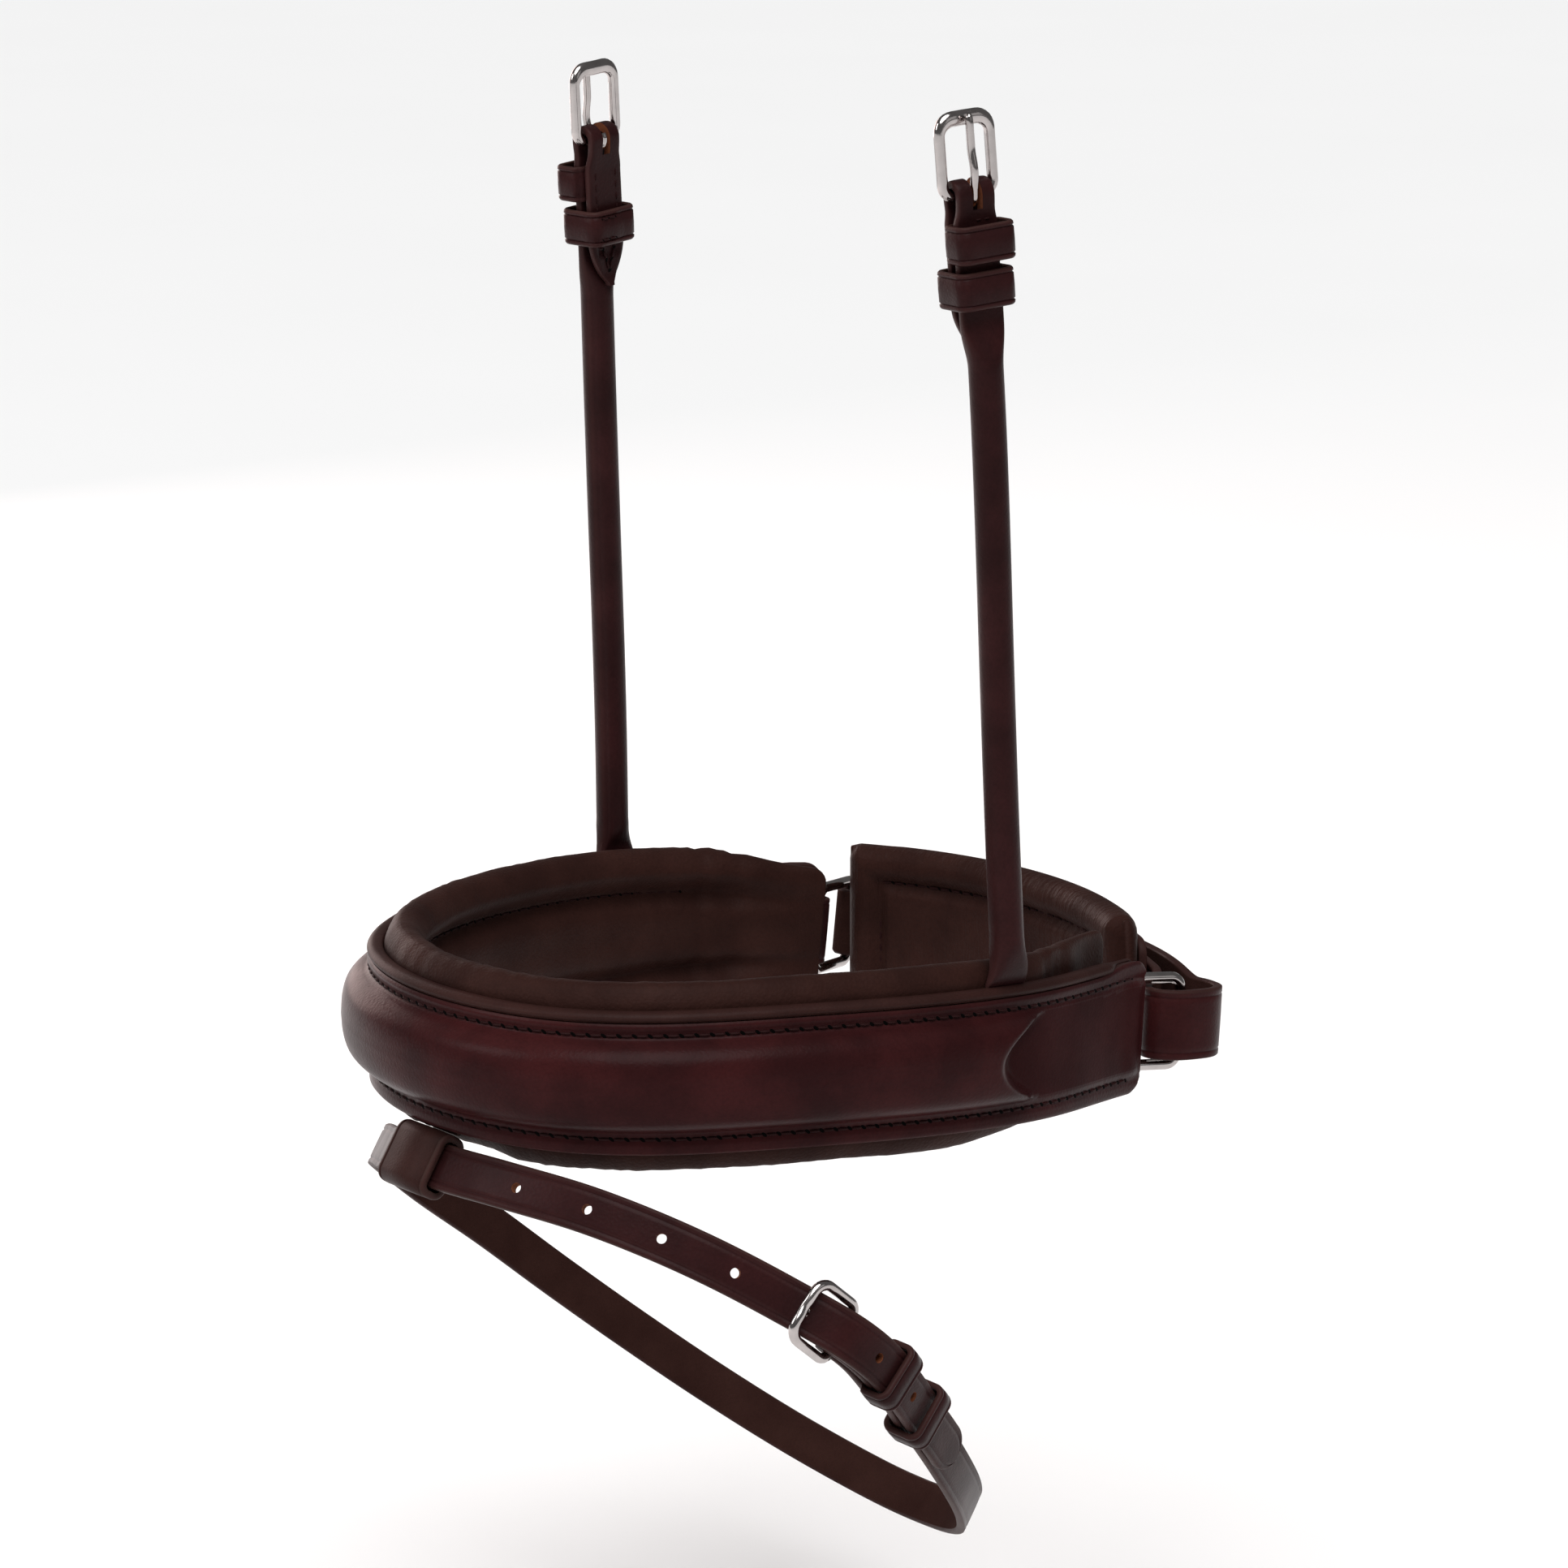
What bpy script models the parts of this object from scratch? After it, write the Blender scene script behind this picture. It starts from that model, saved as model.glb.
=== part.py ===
"""A crank noseband with flash strap and two rolled hangers, at its real size.

Metres, +Z up. The origin is the middle of the muzzle opening, level with the
middle of the band at its front. The front of the nose faces -Y, the chin +Y,
and the horse's left cheek +X. "left" and "right" are the horse's own sides.
"""
import math

import bmesh
import bpy
import numpy as np
from mathutils import Matrix, Vector

# Clearances between pieces
GAP = 0.0003            # between faces that touch on the real thing
RUNNING = 0.0003        # round a wire that turns in its fold
SLACK = 0.0006          # inside a keeper or loop that slides

# Distance between the rings of a bent strap, and of the chin's leather
STRAP_STEP = 0.0085
CHIN_STEP = 0.010

# Nose band, measured along its outer face from the middle of the nose
BAND_HALF_LENGTH = 0.2452
BAND_FRONT_Y = -0.115
BAND_HEADINGS = (0.0, 23.8, 53.1, 70.5, 79.2, 92.0, 107.8, 105.9)
BAND_DROOP = (0.0, 0.0, 0.0, 0.0005, 0.0023, 0.0048, 0.0079, 0.0112)
BAND_HEIGHT = 0.038
BAND_THICKNESS = 0.0026
BAND_CORNER = 0.0055
RAISE_HALF_WIDTH = 0.0118
RAISE_HEIGHT = 0.0075
RAISE_END = 0.060        # from the end of the leather to the end of the raise
RAISE_SCOOP = 0.016      # how far its edges run on past its middle
RAISE_WALL = 0.0024      # leather over the raise
RAISE_FADE = 0.012
BACKING_THICKNESS = 0.0015
BACKING_RIM = 0.0016
BACKING_END = 0.0045

# Lining of the band
PAD_THICKNESS = 0.0105
PAD_RISE = 0.0066        # the roll's crest above the leather's edge
PAD_ROLL = 0.0062
PAD_CHANNEL = 0.0127     # height of the sewn channels
PAD_CHANNEL_DEPTH = 0.0028
PAD_TAPER = 0.046
PAD_END = 0.004
PAD_END_THICKNESS = 0.0034
PAD_END_LOW = 0.0162
PAD_END_HIGH = {"left": 0.0262, "right": 0.0200}

# Square rings at the ends, and the tabs that hold them
RING_WIRE = 0.0016       # radius
RING_LENGTH = 0.0205     # between the middles of the bars
RING_HEIGHT = 0.0250
RING_CORNER = 0.0034
RING_INSET = 0.003       # inner bar from the end of the leather
RING_ANGLE = {"left": 32.0, "right": 36.0}
TAB_THICKNESS = 0.0015
TAB_WIDTH = 0.0200
TAB_REACH = 0.034

# Depths behind the band's outer face, where each layer starts
BACKING_FACE = BAND_THICKNESS + GAP
PAD_FACE = BACKING_FACE + BACKING_THICKNESS + GAP
RING_DEPTH = PAD_FACE + TAB_THICKNESS + RUNNING + RING_WIRE

# Chin piece: an arc that closes the band behind the jaw
CHIN_CREST = (-0.005, 0.109)
CHIN_RADIUS = 0.108      # to the crest of the padding
CHIN_NEAR_LENGTH = 0.05843   # along the arc from its crest
CHIN_FAR_LENGTH = 0.06503
CHIN_LEVEL = -0.0118
CHIN_HEIGHT = 0.0505
CHIN_THICKNESS = 0.0105
CHIN_BORDER = 0.0105     # width of the padded border round the sewn panel
CHIN_LEAN = 0.0030       # how far the ends lean outwards at the bottom
CHIN_LEATHER_HEIGHT = 0.034
CHIN_LEATHER_THICKNESS = 0.0024
CHIN_LEATHER_INSET = {"left": 0.0045, "right": 0.0060}
CHIN_LEATHER_TIP = 0.005
CHIN_STATIONS = (0.002, 0.007, 0.0105, 0.014)   # extra rings of the padding, from each end
CHIN_LAST_STATION = 0.018   # one more near its right end

# Crank strap: from the right ring round the chin to the left ring and back
CRANK_WIDTH = 0.0200
CRANK_THICKNESS = 0.0028
CRANK_TURN_BACK = 0.0065  # of the link at the right ring
CRANK_BUCKLE_AT = 0.066   # along its own arc from the chin's left end
CRANK_TAIL = 0.052
CRANK_TIP = 0.008
CRANK_TAB_REACH = 0.043
CRANK_TAB_THICKNESS = 0.0016
CRANK_LAYER_GAP = 0.0018  # between the chape's layers, for the keepers' legs
CRANK_KEEPERS_AT = (0.0180, 0.0350)
CRANK_KEEPER_HEIGHT = 0.0085
CRANK_HOLE = 0.0019
CRANK_HOLE_PITCH = 0.020
CRANK_SLOT = (-0.0134, -0.0012)   # where the tongue passes, from the hinge bar
CRANK_SLOT_CUT = 0.0105  # depth of the cut, through the strap where it rises to the bar
CRANK_LOOP = ((0.0175, -0.0072), (0.0105, -0.0054), (0.0055, -0.0022), (0.0046, 0.0022),
              (0.0078, 0.0064), (0.0135, 0.0092), (0.0195, 0.0106), (0.0248, 0.0090),
              (0.0284, 0.0040), (0.0312, -0.0030), (0.0352, -0.0108))

# Buckles: inner width fits the strap, length is between the bars
BUCKLE_CORNER = 0.0042
HANGER_BUCKLE_LENGTH = 0.0200
HANGER_BUCKLE_WIRE = 0.0015
FLASH_BUCKLE_LENGTH = 0.0160
FLASH_BUCKLE_WIRE = 0.0014
FLASH_BUCKLE_RISE = 0.0042
FLASH_TONGUE_DROP = 0.12     # slope of its tongue under the strap
CRANK_BUCKLE_LENGTH = 0.0240
CRANK_BUCKLE_RISE = 0.0005   # how much farther out its end bar lies
CRANK_BUCKLE_WIRE = 0.0016
TONGUE_WIRE = 0.0011
TONGUE_PLAY = 0.0002
SIDE_PLAY = 0.0007
TONGUE_SLOT = 0.0030      # width of the slot that a tongue passes
HANGER_SLOT_MORE = 0.0012 # how far a hanger's slot runs past its fold

# Hangers: a rolled strap with a flat buckled top
HANGER_AT = 0.1767       # along the band from the middle of the nose
HANGER_RISE = 0.2155     # from the band's top edge to the buckle's bar
HANGER_LINE = ((0.0, 0.0, 0.0), (-0.0148, -0.0148, 0.3944), (-0.0288, -0.0306, 0.7796),
               (-0.0362, -0.0464, 1.0))   # in shares of the rise
HANGER_TWIST = 8.0
HANGER_ROLL = 0.0094
HANGER_FLAT_WIDTH = 0.0130
HANGER_FOLD_WIDTH = 0.0112   # inside the buckle frame
HANGER_FLAT_THICKNESS = 0.0026
HANGER_FLAT_LENGTH = 0.033
HANGER_ROLL_LENGTH = 0.013   # over which the flat becomes the roll
HANGER_ROLL_OUT = 0.0026     # the roll's middle beside the line of the buckle's bar
HANGER_TURN_BACK = 0.042
HANGER_TURN_THICKNESS = 0.0022
HANGER_LAYER_GAP = 0.0015
HANGER_ROOT_WIDTH = 0.0140
HANGER_ROOT_THICKNESS = 0.0011
HANGER_ROOT_DEPTH = 0.018
HANGER_BASE_OUT = -0.0015    # the roll's middle from the band's outer face
HANGER_STATIONS = (0.022, 0.0105, 0.0060, 0.0025)   # rings below the bar, on both layers
HANGER_TIP_STATIONS = (0.030, 0.0345, 0.038)   # rings of the turned-back tip
HANGER_TIP_END = 0.0016

# Keepers: thin leather loops
KEEPER_HEIGHT = 0.0100
KEEPER_THICKNESS = 0.0017
KEEPER_LEG = 0.0009      # thickness where a fixed keeper is sewn between layers
BILLET_ROOM = 0.0042     # room that a hanger's fixed keeper keeps for the bridle's billet
RUNNER_ROOM = 0.0026     # the same in its runner
RUNNER_BACK_ROOM = 0.0018   # on the other side of the runner
HANGER_FIXED_DROP = 0.0122
HANGER_RUNNER_DROP = 0.0246

# Flash strap: its middle line from the front of the nose, by the left side, and round
FLASH_ROUTE = ((0.0, -0.1170, -0.0285), (0.0125, -0.1162, -0.0286), (0.0300, -0.1125, -0.0290),
               (0.0562, -0.1010, -0.0328), (0.0784, -0.0842, -0.0424), (0.0942, -0.0638, -0.0569),
               (0.1005, -0.0480, -0.0700), (0.0963, -0.0313, -0.0870), (0.0891, -0.0142, -0.1035),
               (0.0739, 0.0111, -0.1285), (0.0523, 0.0344, -0.1480), (0.0290, 0.0530, -0.1625),
               (0.0030, 0.0650, -0.1710), (-0.0250, 0.0680, -0.1725), (-0.0520, 0.0575, -0.1630),
               (-0.0734, 0.0421, -0.1487), (-0.0886, 0.0233, -0.1314), (-0.0986, 0.0030, -0.1130),
               (-0.1030, -0.0191, -0.0936), (-0.1018, -0.0419, -0.0756), (-0.0938, -0.0630, -0.0588),
               (-0.0784, -0.0745, -0.0516), (-0.0562, -0.0890, -0.0436), (-0.0300, -0.1060, -0.0348),
               (-0.0125, -0.1162, -0.0288))
FLASH_LEAN = 33.0
FLASH_WIDTH = 0.0127
FLASH_THICKNESS = 0.0028
FLASH_BAR_AT = 0.1333     # hinge bar of the buckle along the route
FLASH_TURN_BACK = 0.030
FLASH_TAIL = 0.0737
FLASH_TIP = 0.008
FLASH_HOLE = 0.0014
FLASH_HOLE_PITCH = 0.0212
FLASH_HOLES = 5
FLASH_TAIL_HOLES = 3
FLASH_HOLE_AT = 0.0125    # nearest hole from the hinge bar
FLASH_FIXED_AT = 0.0192
FLASH_RUNNER_AT = 0.0440
FLASH_KEEPER_HEIGHT = 0.0078
FLASH_LAYER_GAP = 0.0020  # between strap and turn-back, for the fixed keeper's leg
FLASH_SLACK = 0.0012      # in its loop and its runner, which it passes on a curve
FLASH_LOOP_WIDTH = 0.0200
FLASH_LOOP_THICKNESS = 0.0020
FLASH_TAB_THICKNESS = 0.0013
FLASH_TAB_TOP = -0.0040
FLASH_TAB_BOTTOM = -0.0206
FLASH_SWING = (-0.1113, -0.0212)   # Y and Z of the line that the flash loop swings about

# Where the flash strap lies beside its route: before the buckle's hinge bar, over it, and on
FLASH_OVER = ((-0.030, 0.0), (-0.022, 0.00035), (-0.016, 0.0012), (-0.011, 0.0028), (-0.006, 0.00455),
              (-0.002, 0.0060), (0.001, 0.0063), (0.005, 0.0061), (0.009, 0.0059), (0.014, 0.0057), (0.0192, 0.0056),
              (0.024, 0.0056), (0.029, 0.0055), (0.034, 0.0050), (0.039, 0.0042), (0.044, 0.0037),
              (0.049, 0.0034), (0.060, 0.0034), (FLASH_TAIL, 0.0034))

# Legs of the crank strap outside the chin: the inner one from the crest, the buckle's bar,
# and the outer one beside the bar
CRANK_LEG_OUT = 0.0092
CRANK_BAR_OUT = 0.0150
CRANK_OVER = ((-0.0575, 0.0014), (-0.046, 0.0007), (-0.036, 0.0), (-0.024, -0.0004), (-0.0145, -0.0001),
              (-0.0095, 0.0024), (-0.0045, 0.0052), (0.0, 0.0058), (0.005, 0.0052), (0.012, 0.0036),
              (0.018, 0.0032), (0.035, 0.0032), (0.044, 0.0032), (CRANK_TAIL, 0.0024))
CHIN_CHANNEL = 0.0024    # depth of the seam round the panel

# Neck of a hanger above the band's edge: height, width, thickness, out, roundness
HANGER_NECK = ((0.0205, 0.0136, 0.0022, -0.0033, 0.0), (0.0230, 0.0126, 0.0036, -0.0026, 0.2),
               (0.0260, 0.0115, 0.0050, -0.0019, 0.5), (0.0300, 0.0104, 0.0066, -0.0016, 0.8),
               (0.0340, 0.0096, 0.0082, -0.0015, 1.0))

SIDES = ("left", "right")

# Colour, roughness and metallic value of each finish
FINISHES = {
    "outer_leather": ((0.105, 0.030, 0.028), 0.30, 0.0),
    "strap_leather": ((0.085, 0.032, 0.028), 0.38, 0.0),
    "lining_leather": ((0.060, 0.036, 0.028), 0.62, 0.0),
    "backing_leather": ((0.075, 0.048, 0.034), 0.60, 0.0),
    "filler": ((0.300, 0.270, 0.230), 0.90, 0.0),
    "stainless": ((0.780, 0.780, 0.780), 0.18, 1.0),
}


def unit(vector):
    """The vector at length one."""
    vector = np.asarray(vector, float)
    return vector / np.linalg.norm(vector)


def ease(value, low, high):
    """0 below low, 1 above high, and a smooth rise between them."""
    share = min(1.0, max(0.0, (value - low) / (high - low)))
    return share * share * (3.0 - 2.0 * share)


def curve_through(knots, step, closed=False):
    """Points about one step apart on a smooth curve through the knots."""
    knots = np.asarray(knots, float)
    count = len(knots)
    if closed:
        knots = np.vstack([knots[-1:], knots, knots[:2]])
    else:
        knots = np.vstack([2 * knots[0] - knots[1], knots, 2 * knots[-1] - knots[-2]])
    chords = np.linalg.norm(np.diff(knots, axis=0), axis=1)
    line = []
    for i in range(1, count + 1 if closed else count):
        before, span, after = chords[i - 1], chords[i], chords[i + 1]
        slope = (knots[i + 1] - knots[i - 1]) / (before + span) * span
        next_slope = (knots[i + 2] - knots[i]) / (span + after) * span
        pieces = max(1, round(span / step))
        for t in np.arange(pieces) / pieces:
            line.append((2 * t**3 - 3 * t**2 + 1) * knots[i] + (t**3 - 2 * t**2 + t) * slope
                        + (3 * t**2 - 2 * t**3) * knots[i + 1] + (t**3 - t**2) * next_slope)
    if not closed:
        line.append(knots[count])
    return np.array(line)


class Rail:
    """A line with an outward and an up direction at every place along it."""

    def __init__(self, points, up, centred=False, closed=False):
        self.points = np.asarray(points, float)
        self.up = unit(up)
        steps = np.linalg.norm(np.diff(self.points, axis=0), axis=1)
        self.reach = np.concatenate([[0.0], np.cumsum(steps)])
        self.length = self.reach[-1]
        self.closed = closed
        if centred:
            self.reach -= self.length / 2
        self.headings = np.gradient(self.points, self.reach, axis=0)
        if closed:
            self.headings[0] = self.headings[-1] = self.points[1] - self.points[-2]

    def frame(self, along):
        """Point, heading, outward and up direction at a distance along the line."""
        if self.closed:
            along %= self.length
        inside = min(self.reach[-1], max(self.reach[0], along))
        point = np.array([np.interp(inside, self.reach, c) for c in self.points.T])
        heading = unit([np.interp(inside, self.reach, c) for c in self.headings.T])
        outward = unit(np.cross(heading, self.up))
        up = np.cross(outward, heading)
        return point + heading * (along - inside), heading, outward, up

    def place(self, along, out, up=0.0):
        """World point at a distance along the line, moved outwards and up."""
        point, _, outward, rise = self.frame(along)
        return point + outward * out + rise * up


def band_rail():
    """The outer face of the band at mid height, from the right end to the left end."""
    steps = 140
    along = np.linspace(0.0, BAND_HALF_LENGTH, steps + 1)
    knots = np.linspace(0.0, BAND_HALF_LENGTH, len(BAND_HEADINGS))
    profile = curve_through(np.column_stack([knots, np.radians(BAND_HEADINGS) * BAND_HEIGHT]), 0.001)
    heading = np.interp(along, profile[:, 0], profile[:, 1] / BAND_HEIGHT)
    droop = curve_through(np.column_stack([knots, BAND_DROOP]), 0.001)
    half = np.zeros((steps + 1, 3))
    stride = along[1]
    half[1:, 0] = np.cumsum((np.cos(heading[1:]) + np.cos(heading[:-1])) / 2) * stride
    half[1:, 1] = np.cumsum((np.sin(heading[1:]) + np.sin(heading[:-1])) / 2) * stride
    half[:, 1] += BAND_FRONT_Y
    half[:, 2] = -np.interp(along, droop[:, 0], droop[:, 1])
    mirrored = half[:0:-1] * (-1, 1, 1)
    return Rail(np.vstack([mirrored, half]), (0, 0, 1), centred=True)


def chin_rail(out=0.0):
    """An arc beside the crest of the chin padding, from its left end to its right end."""
    radius = CHIN_RADIUS + out
    angles = np.linspace(CHIN_NEAR_LENGTH, -CHIN_FAR_LENGTH, 60) / CHIN_RADIUS
    points = np.column_stack([CHIN_CREST[0] + radius * np.sin(angles),
                              CHIN_CREST[1] - CHIN_RADIUS + radius * np.cos(angles),
                              np.full(len(angles), CHIN_LEVEL)])
    return Rail(points, (0, 0, 1))


def flash_rail():
    """The middle line of the flash strap, once round from the front of the nose."""
    line = curve_through(FLASH_ROUTE, 0.003, closed=True)
    lean = math.radians(FLASH_LEAN)
    return Rail(np.vstack([line, line[:1]]), (0, math.sin(lean), math.cos(lean)), closed=True)


def finish_of(name):
    """The Principled material of a finish, made on its first use."""
    if name in bpy.data.materials:
        return bpy.data.materials[name]
    colour, roughness, metallic = FINISHES[name]
    material = bpy.data.materials.new(name)
    material.use_nodes = True
    shader = material.node_tree.nodes["Principled BSDF"]
    shader.inputs["Base Color"].default_value = (*colour, 1.0)
    shader.inputs["Roughness"].default_value = roughness
    shader.inputs["Metallic"].default_value = metallic
    return material


def skin(name, rings, finish, closed=False, origin=(0, 0, 0), pose=None):
    """A closed solid through rings of points, with flat ends unless it closes on itself."""
    shape = bmesh.new()
    origin = Vector(origin)
    rows = [[shape.verts.new(Vector(point) - origin) for point in ring] for ring in rings]
    spans = len(rows) if closed else len(rows) - 1
    for i in range(spans):
        first, second = rows[i], rows[(i + 1) % len(rows)]
        for k in range(len(first)):
            following = (k + 1) % len(first)
            shape.faces.new((first[k], first[following], second[following], second[k]))
    if not closed:
        shape.faces.new(rows[0][::-1])
        shape.faces.new(rows[-1])
    bmesh.ops.recalc_face_normals(shape, faces=shape.faces)
    mesh = bpy.data.meshes.new(name)
    shape.to_mesh(mesh)
    shape.free()
    mesh.shade_smooth()
    mesh.set_sharp_from_angle(angle=math.radians(35))
    mesh.materials.append(finish_of(finish))
    piece = bpy.data.objects.new(name, mesh)
    piece.location = origin
    if pose is not None:
        piece.matrix_world = pose
    bpy.context.scene.collection.objects.link(piece)
    return piece


def box_cutter(name, size, pose):
    """A guide box that a Boolean cuts away."""
    mesh = bpy.data.meshes.new(name)
    shape = bmesh.new()
    bmesh.ops.create_cube(shape, size=1.0)
    bmesh.ops.scale(shape, vec=Vector(size), verts=shape.verts)
    shape.to_mesh(mesh)
    shape.free()
    return guide(name, mesh, pose)


def pin_cutter(name, radius, depth, poses, segments=12):
    """Guide pins, one at each pose, that a Boolean cuts away as holes."""
    shape = bmesh.new()
    for pose in poses:
        bmesh.ops.create_cone(shape, segments=segments, radius1=radius, radius2=radius, depth=depth,
                              cap_ends=True, matrix=pose)
    mesh = bpy.data.meshes.new(name)
    shape.to_mesh(mesh)
    shape.free()
    return guide(name, mesh, Matrix.Identity(4))


def guide(name, mesh, pose):
    """An object that shapes others and isn't a piece itself."""
    cutter = bpy.data.objects.new(name, mesh)
    cutter.matrix_world = pose
    cutter.hide_render = True
    cutter.display_type = "WIRE"
    bpy.context.scene.collection.objects.link(cutter)
    return cutter


def cut(piece, cutter):
    """Take a guide's volume out of a piece."""
    change = piece.modifiers.new(cutter.name, "BOOLEAN")
    change.operation = "DIFFERENCE"
    change.solver = "EXACT"
    change.object = cutter


def pose_of(point, across, along, out):
    """The matrix that puts local X, Y and Z on three directions at a point."""
    matrix = Matrix.Identity(4)
    for column, axis in enumerate((across, along, out, point)):
        for row in range(3):
            matrix[row][column] = axis[row]
    return matrix


def rounded_loop(half_width, low, high, corner, steps=4):
    """A rounded rectangle about the Y axis, from low to high along it."""
    points = []
    centres = ((half_width - corner, low + corner, -90), (half_width - corner, high - corner, 0),
               (corner - half_width, high - corner, 90), (corner - half_width, low + corner, 180))
    for x, y, start in centres:
        for step in range(steps + 1):
            angle = math.radians(start + 90 * step / steps)
            points.append((x + corner * math.cos(angle), y + corner * math.sin(angle)))
    return np.array(points)


def wire_rings(points, normal, radius, closed, sides=8):
    """Rings of a round wire along points that lie in the plane of the normal."""
    count = len(points)
    rings = []
    for i, point in enumerate(points):
        after = points[(i + 1) % count] if closed else points[min(i + 1, count - 1)]
        before = points[i - 1] if closed else points[max(i - 1, 0)]
        side = unit(np.cross(unit(after - before), normal))
        turns = [2 * math.pi * k / sides for k in range(sides)]
        rings.append([point + radius * (math.cos(t) * side + math.sin(t) * normal) for t in turns])
    return rings


def buckle_frame(name, pose, inner_width, length, wire):
    """A wire frame that turns on its bar, which lies on local X; the frame runs along local Y."""
    half = inner_width / 2 + wire
    loop = rounded_loop(half, 0.0, length, BUCKLE_CORNER)
    low = rounded_loop(half, 0.0, length, 2 * wire)
    outline = np.where((loop[:, 1] < length / 2)[:, None], low, loop)
    points = np.column_stack([outline, np.zeros(len(outline))])
    return skin(name, wire_rings(points, np.array([0.0, 0.0, 1.0]), wire, True), "stainless",
                closed=True, pose=pose)


def tongue(name, pose, bar, length, rise):
    """A wire tongue: an eye round the bar on local X, and a shank along local Y."""
    eye = bar + TONGUE_PLAY + TONGUE_WIRE
    angles = np.radians(np.linspace(-60, -270, 12))
    points = [(0.0, eye * math.cos(a), eye * math.sin(a)) for a in angles]
    points += [(0.0, y, eye + rise * y / length) for y in np.linspace(0.15, 1.0, 4) * length]
    return skin(name, wire_rings(np.array(points), np.array([1.0, 0.0, 0.0]), TONGUE_WIRE, False),
                "stainless", pose=pose)


def loop_band(name, pose, half_width, low, high, height, thickness, leg, finish):
    """A leather loop round local Y: its room runs from low to high along local Z."""
    corner = 0.0016
    inner = rounded_loop(half_width, low, high, corner, steps=3)
    middle = (0.0, (low + high) / 2)
    rings = []
    count = len(inner)
    for i in range(count):
        heading = unit(inner[(i + 1) % count] - inner[i - 1])
        side = np.array([heading[1], -heading[0]])
        if np.dot(side, inner[i] - middle) < 0:
            side = -side
        wall = leg if inner[i][1] < low + corner * 0.4 else thickness
        edge = min(0.0005, wall / 3)
        profile = ((0, -1), (wall - edge, -1), (wall, -1 + 2 * edge / height),
                   (wall, 1 - 2 * edge / height), (wall - edge, 1), (0, 1))
        rings.append([(inner[i][0] + side[0] * depth, share * height / 2, inner[i][1] + side[1] * depth)
                      for depth, share in profile])
    return skin(name, rings, finish, closed=True, pose=pose)


def strap_section(width, thickness, roundness):
    """Twelve points round a strap: a chamfered rectangle, or an oval where it is rolled."""
    edge = min(0.0005, thickness * 0.3)
    half, depth = width / 2, thickness / 2
    corner = ((half, 0.0), (half, depth - edge), (half - edge, depth), (0.0, depth))
    points = []
    for k in range(12):
        turn = math.radians(30 * k)
        x, z = corner[(0, 1, 2, 3, 2, 1)[k % 6]]
        x = math.copysign(x, math.cos(turn)) if k % 6 != 3 else 0.0
        z = math.copysign(z, math.sin(turn)) if k % 6 != 0 else 0.0
        points.append((x * (1 - roundness) + half * math.cos(turn) * roundness,
                       z * (1 - roundness) + depth * math.sin(turn) * roundness))
    return points


def tip_share(distance, length):
    """How much of its width a strap has at a distance from its rounded tip."""
    if distance >= length:
        return 1.0
    return max(0.30, math.sqrt(1.0 - (1.0 - distance / length) ** 2))


def with_tips(points, first, last):
    """Closer points at the two ends of a line, for the rounded tips there."""
    points = [np.asarray(p, float) for p in points]
    for length in (first, last):
        while length and len(points) > 3 and np.linalg.norm(points[1][:3] - points[0][:3]) < length:
            points.pop(1)
        if length:
            start, after = points[0], points[1]
            span = np.linalg.norm(after[:3] - start[:3])
            extra = [start + (after - start) * length * share / span for share in (0.12, 0.4, 1.0)]
            points = [start] + [e for e in extra if np.linalg.norm(e[:3] - after[:3]) > 0.0004] + points[1:]
        points = points[::-1]
    return points


def strap(name, finish, line, width, thickness, tips=(0.0, 0.0), origin=(0, 0, 0)):
    """A flat strap along a line whose points hold a place and the direction across."""
    line = np.array(with_tips(line, *tips))
    places = line[:, :3]
    reach = np.concatenate([[0.0], np.cumsum(np.linalg.norm(np.diff(places, axis=0), axis=1))])
    headings = np.gradient(places, reach, axis=0)
    rings = []
    for place, heading, across, along in zip(places, headings, line[:, 3:], reach):
        heading = unit(heading)
        across = unit(across - heading * np.dot(across, heading))
        through = np.cross(heading, across)
        share = tip_share(along, tips[0]) * tip_share(reach[-1] - along, tips[1])
        half, depth = width / 2 * share, thickness / 2
        edge = min(0.0005, depth * 0.5)
        profile = ((half - edge, -depth), (half, edge - depth), (half, depth - edge), (half - edge, depth),
                   (edge - half, depth), (-half, depth - edge), (-half, edge - depth), (edge - half, -depth))
        rings.append([place + across * x + through * z for x, z in profile])
    return skin(name, rings, finish, origin=origin)


def on_rail(rail, knots, step):
    """A smooth strap line through (along, out) knots beside a rail."""
    return [np.concatenate([rail.place(along, out), rail.frame(along)[3]])
            for along, out in curve_through(knots, step)]


def bend(bar, radius, way, start=90, end=-90):
    """Knots of a layer that turns round a bar, on the side that way names."""
    along, out = bar
    turns = np.radians(np.linspace(start, end, 9))
    return [(along + way * radius * math.cos(t), out + radius * math.sin(t)) for t in turns]


def stations(low, high, step, breaks=()):
    """Places from low to high about a step apart, with each break among them."""
    marks = sorted({low, high, *(b for b in breaks if low < b < high)})
    places = []
    for start, stop in zip(marks, marks[1:]):
        pieces = max(1, round((stop - start) / step))
        places += list(start + (stop - start) * np.arange(pieces) / pieces)
    return places + [high]


# Half profiles of the raise, from its foot to its middle: share of half width, share of height
RAISE_OUTSIDE = ((1.076, 0.0), (1.017, 0.20), (0.924, 0.50), (0.712, 0.80), (0.390, 0.95), (0.0, 1.0))
RAISE_INSIDE = ((0.915, 0.0), (0.797, 0.52), (0.576, 0.845), (0.305, 0.96), (0.0, 1.0))


def raise_share(from_end, across, inset):
    """How much of the raise stands at a place; its end curves in between its edges."""
    end = RAISE_END - RAISE_SCOOP * min(1.0, across) ** 2 + inset
    return ease(from_end, end, end + RAISE_FADE)


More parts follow.
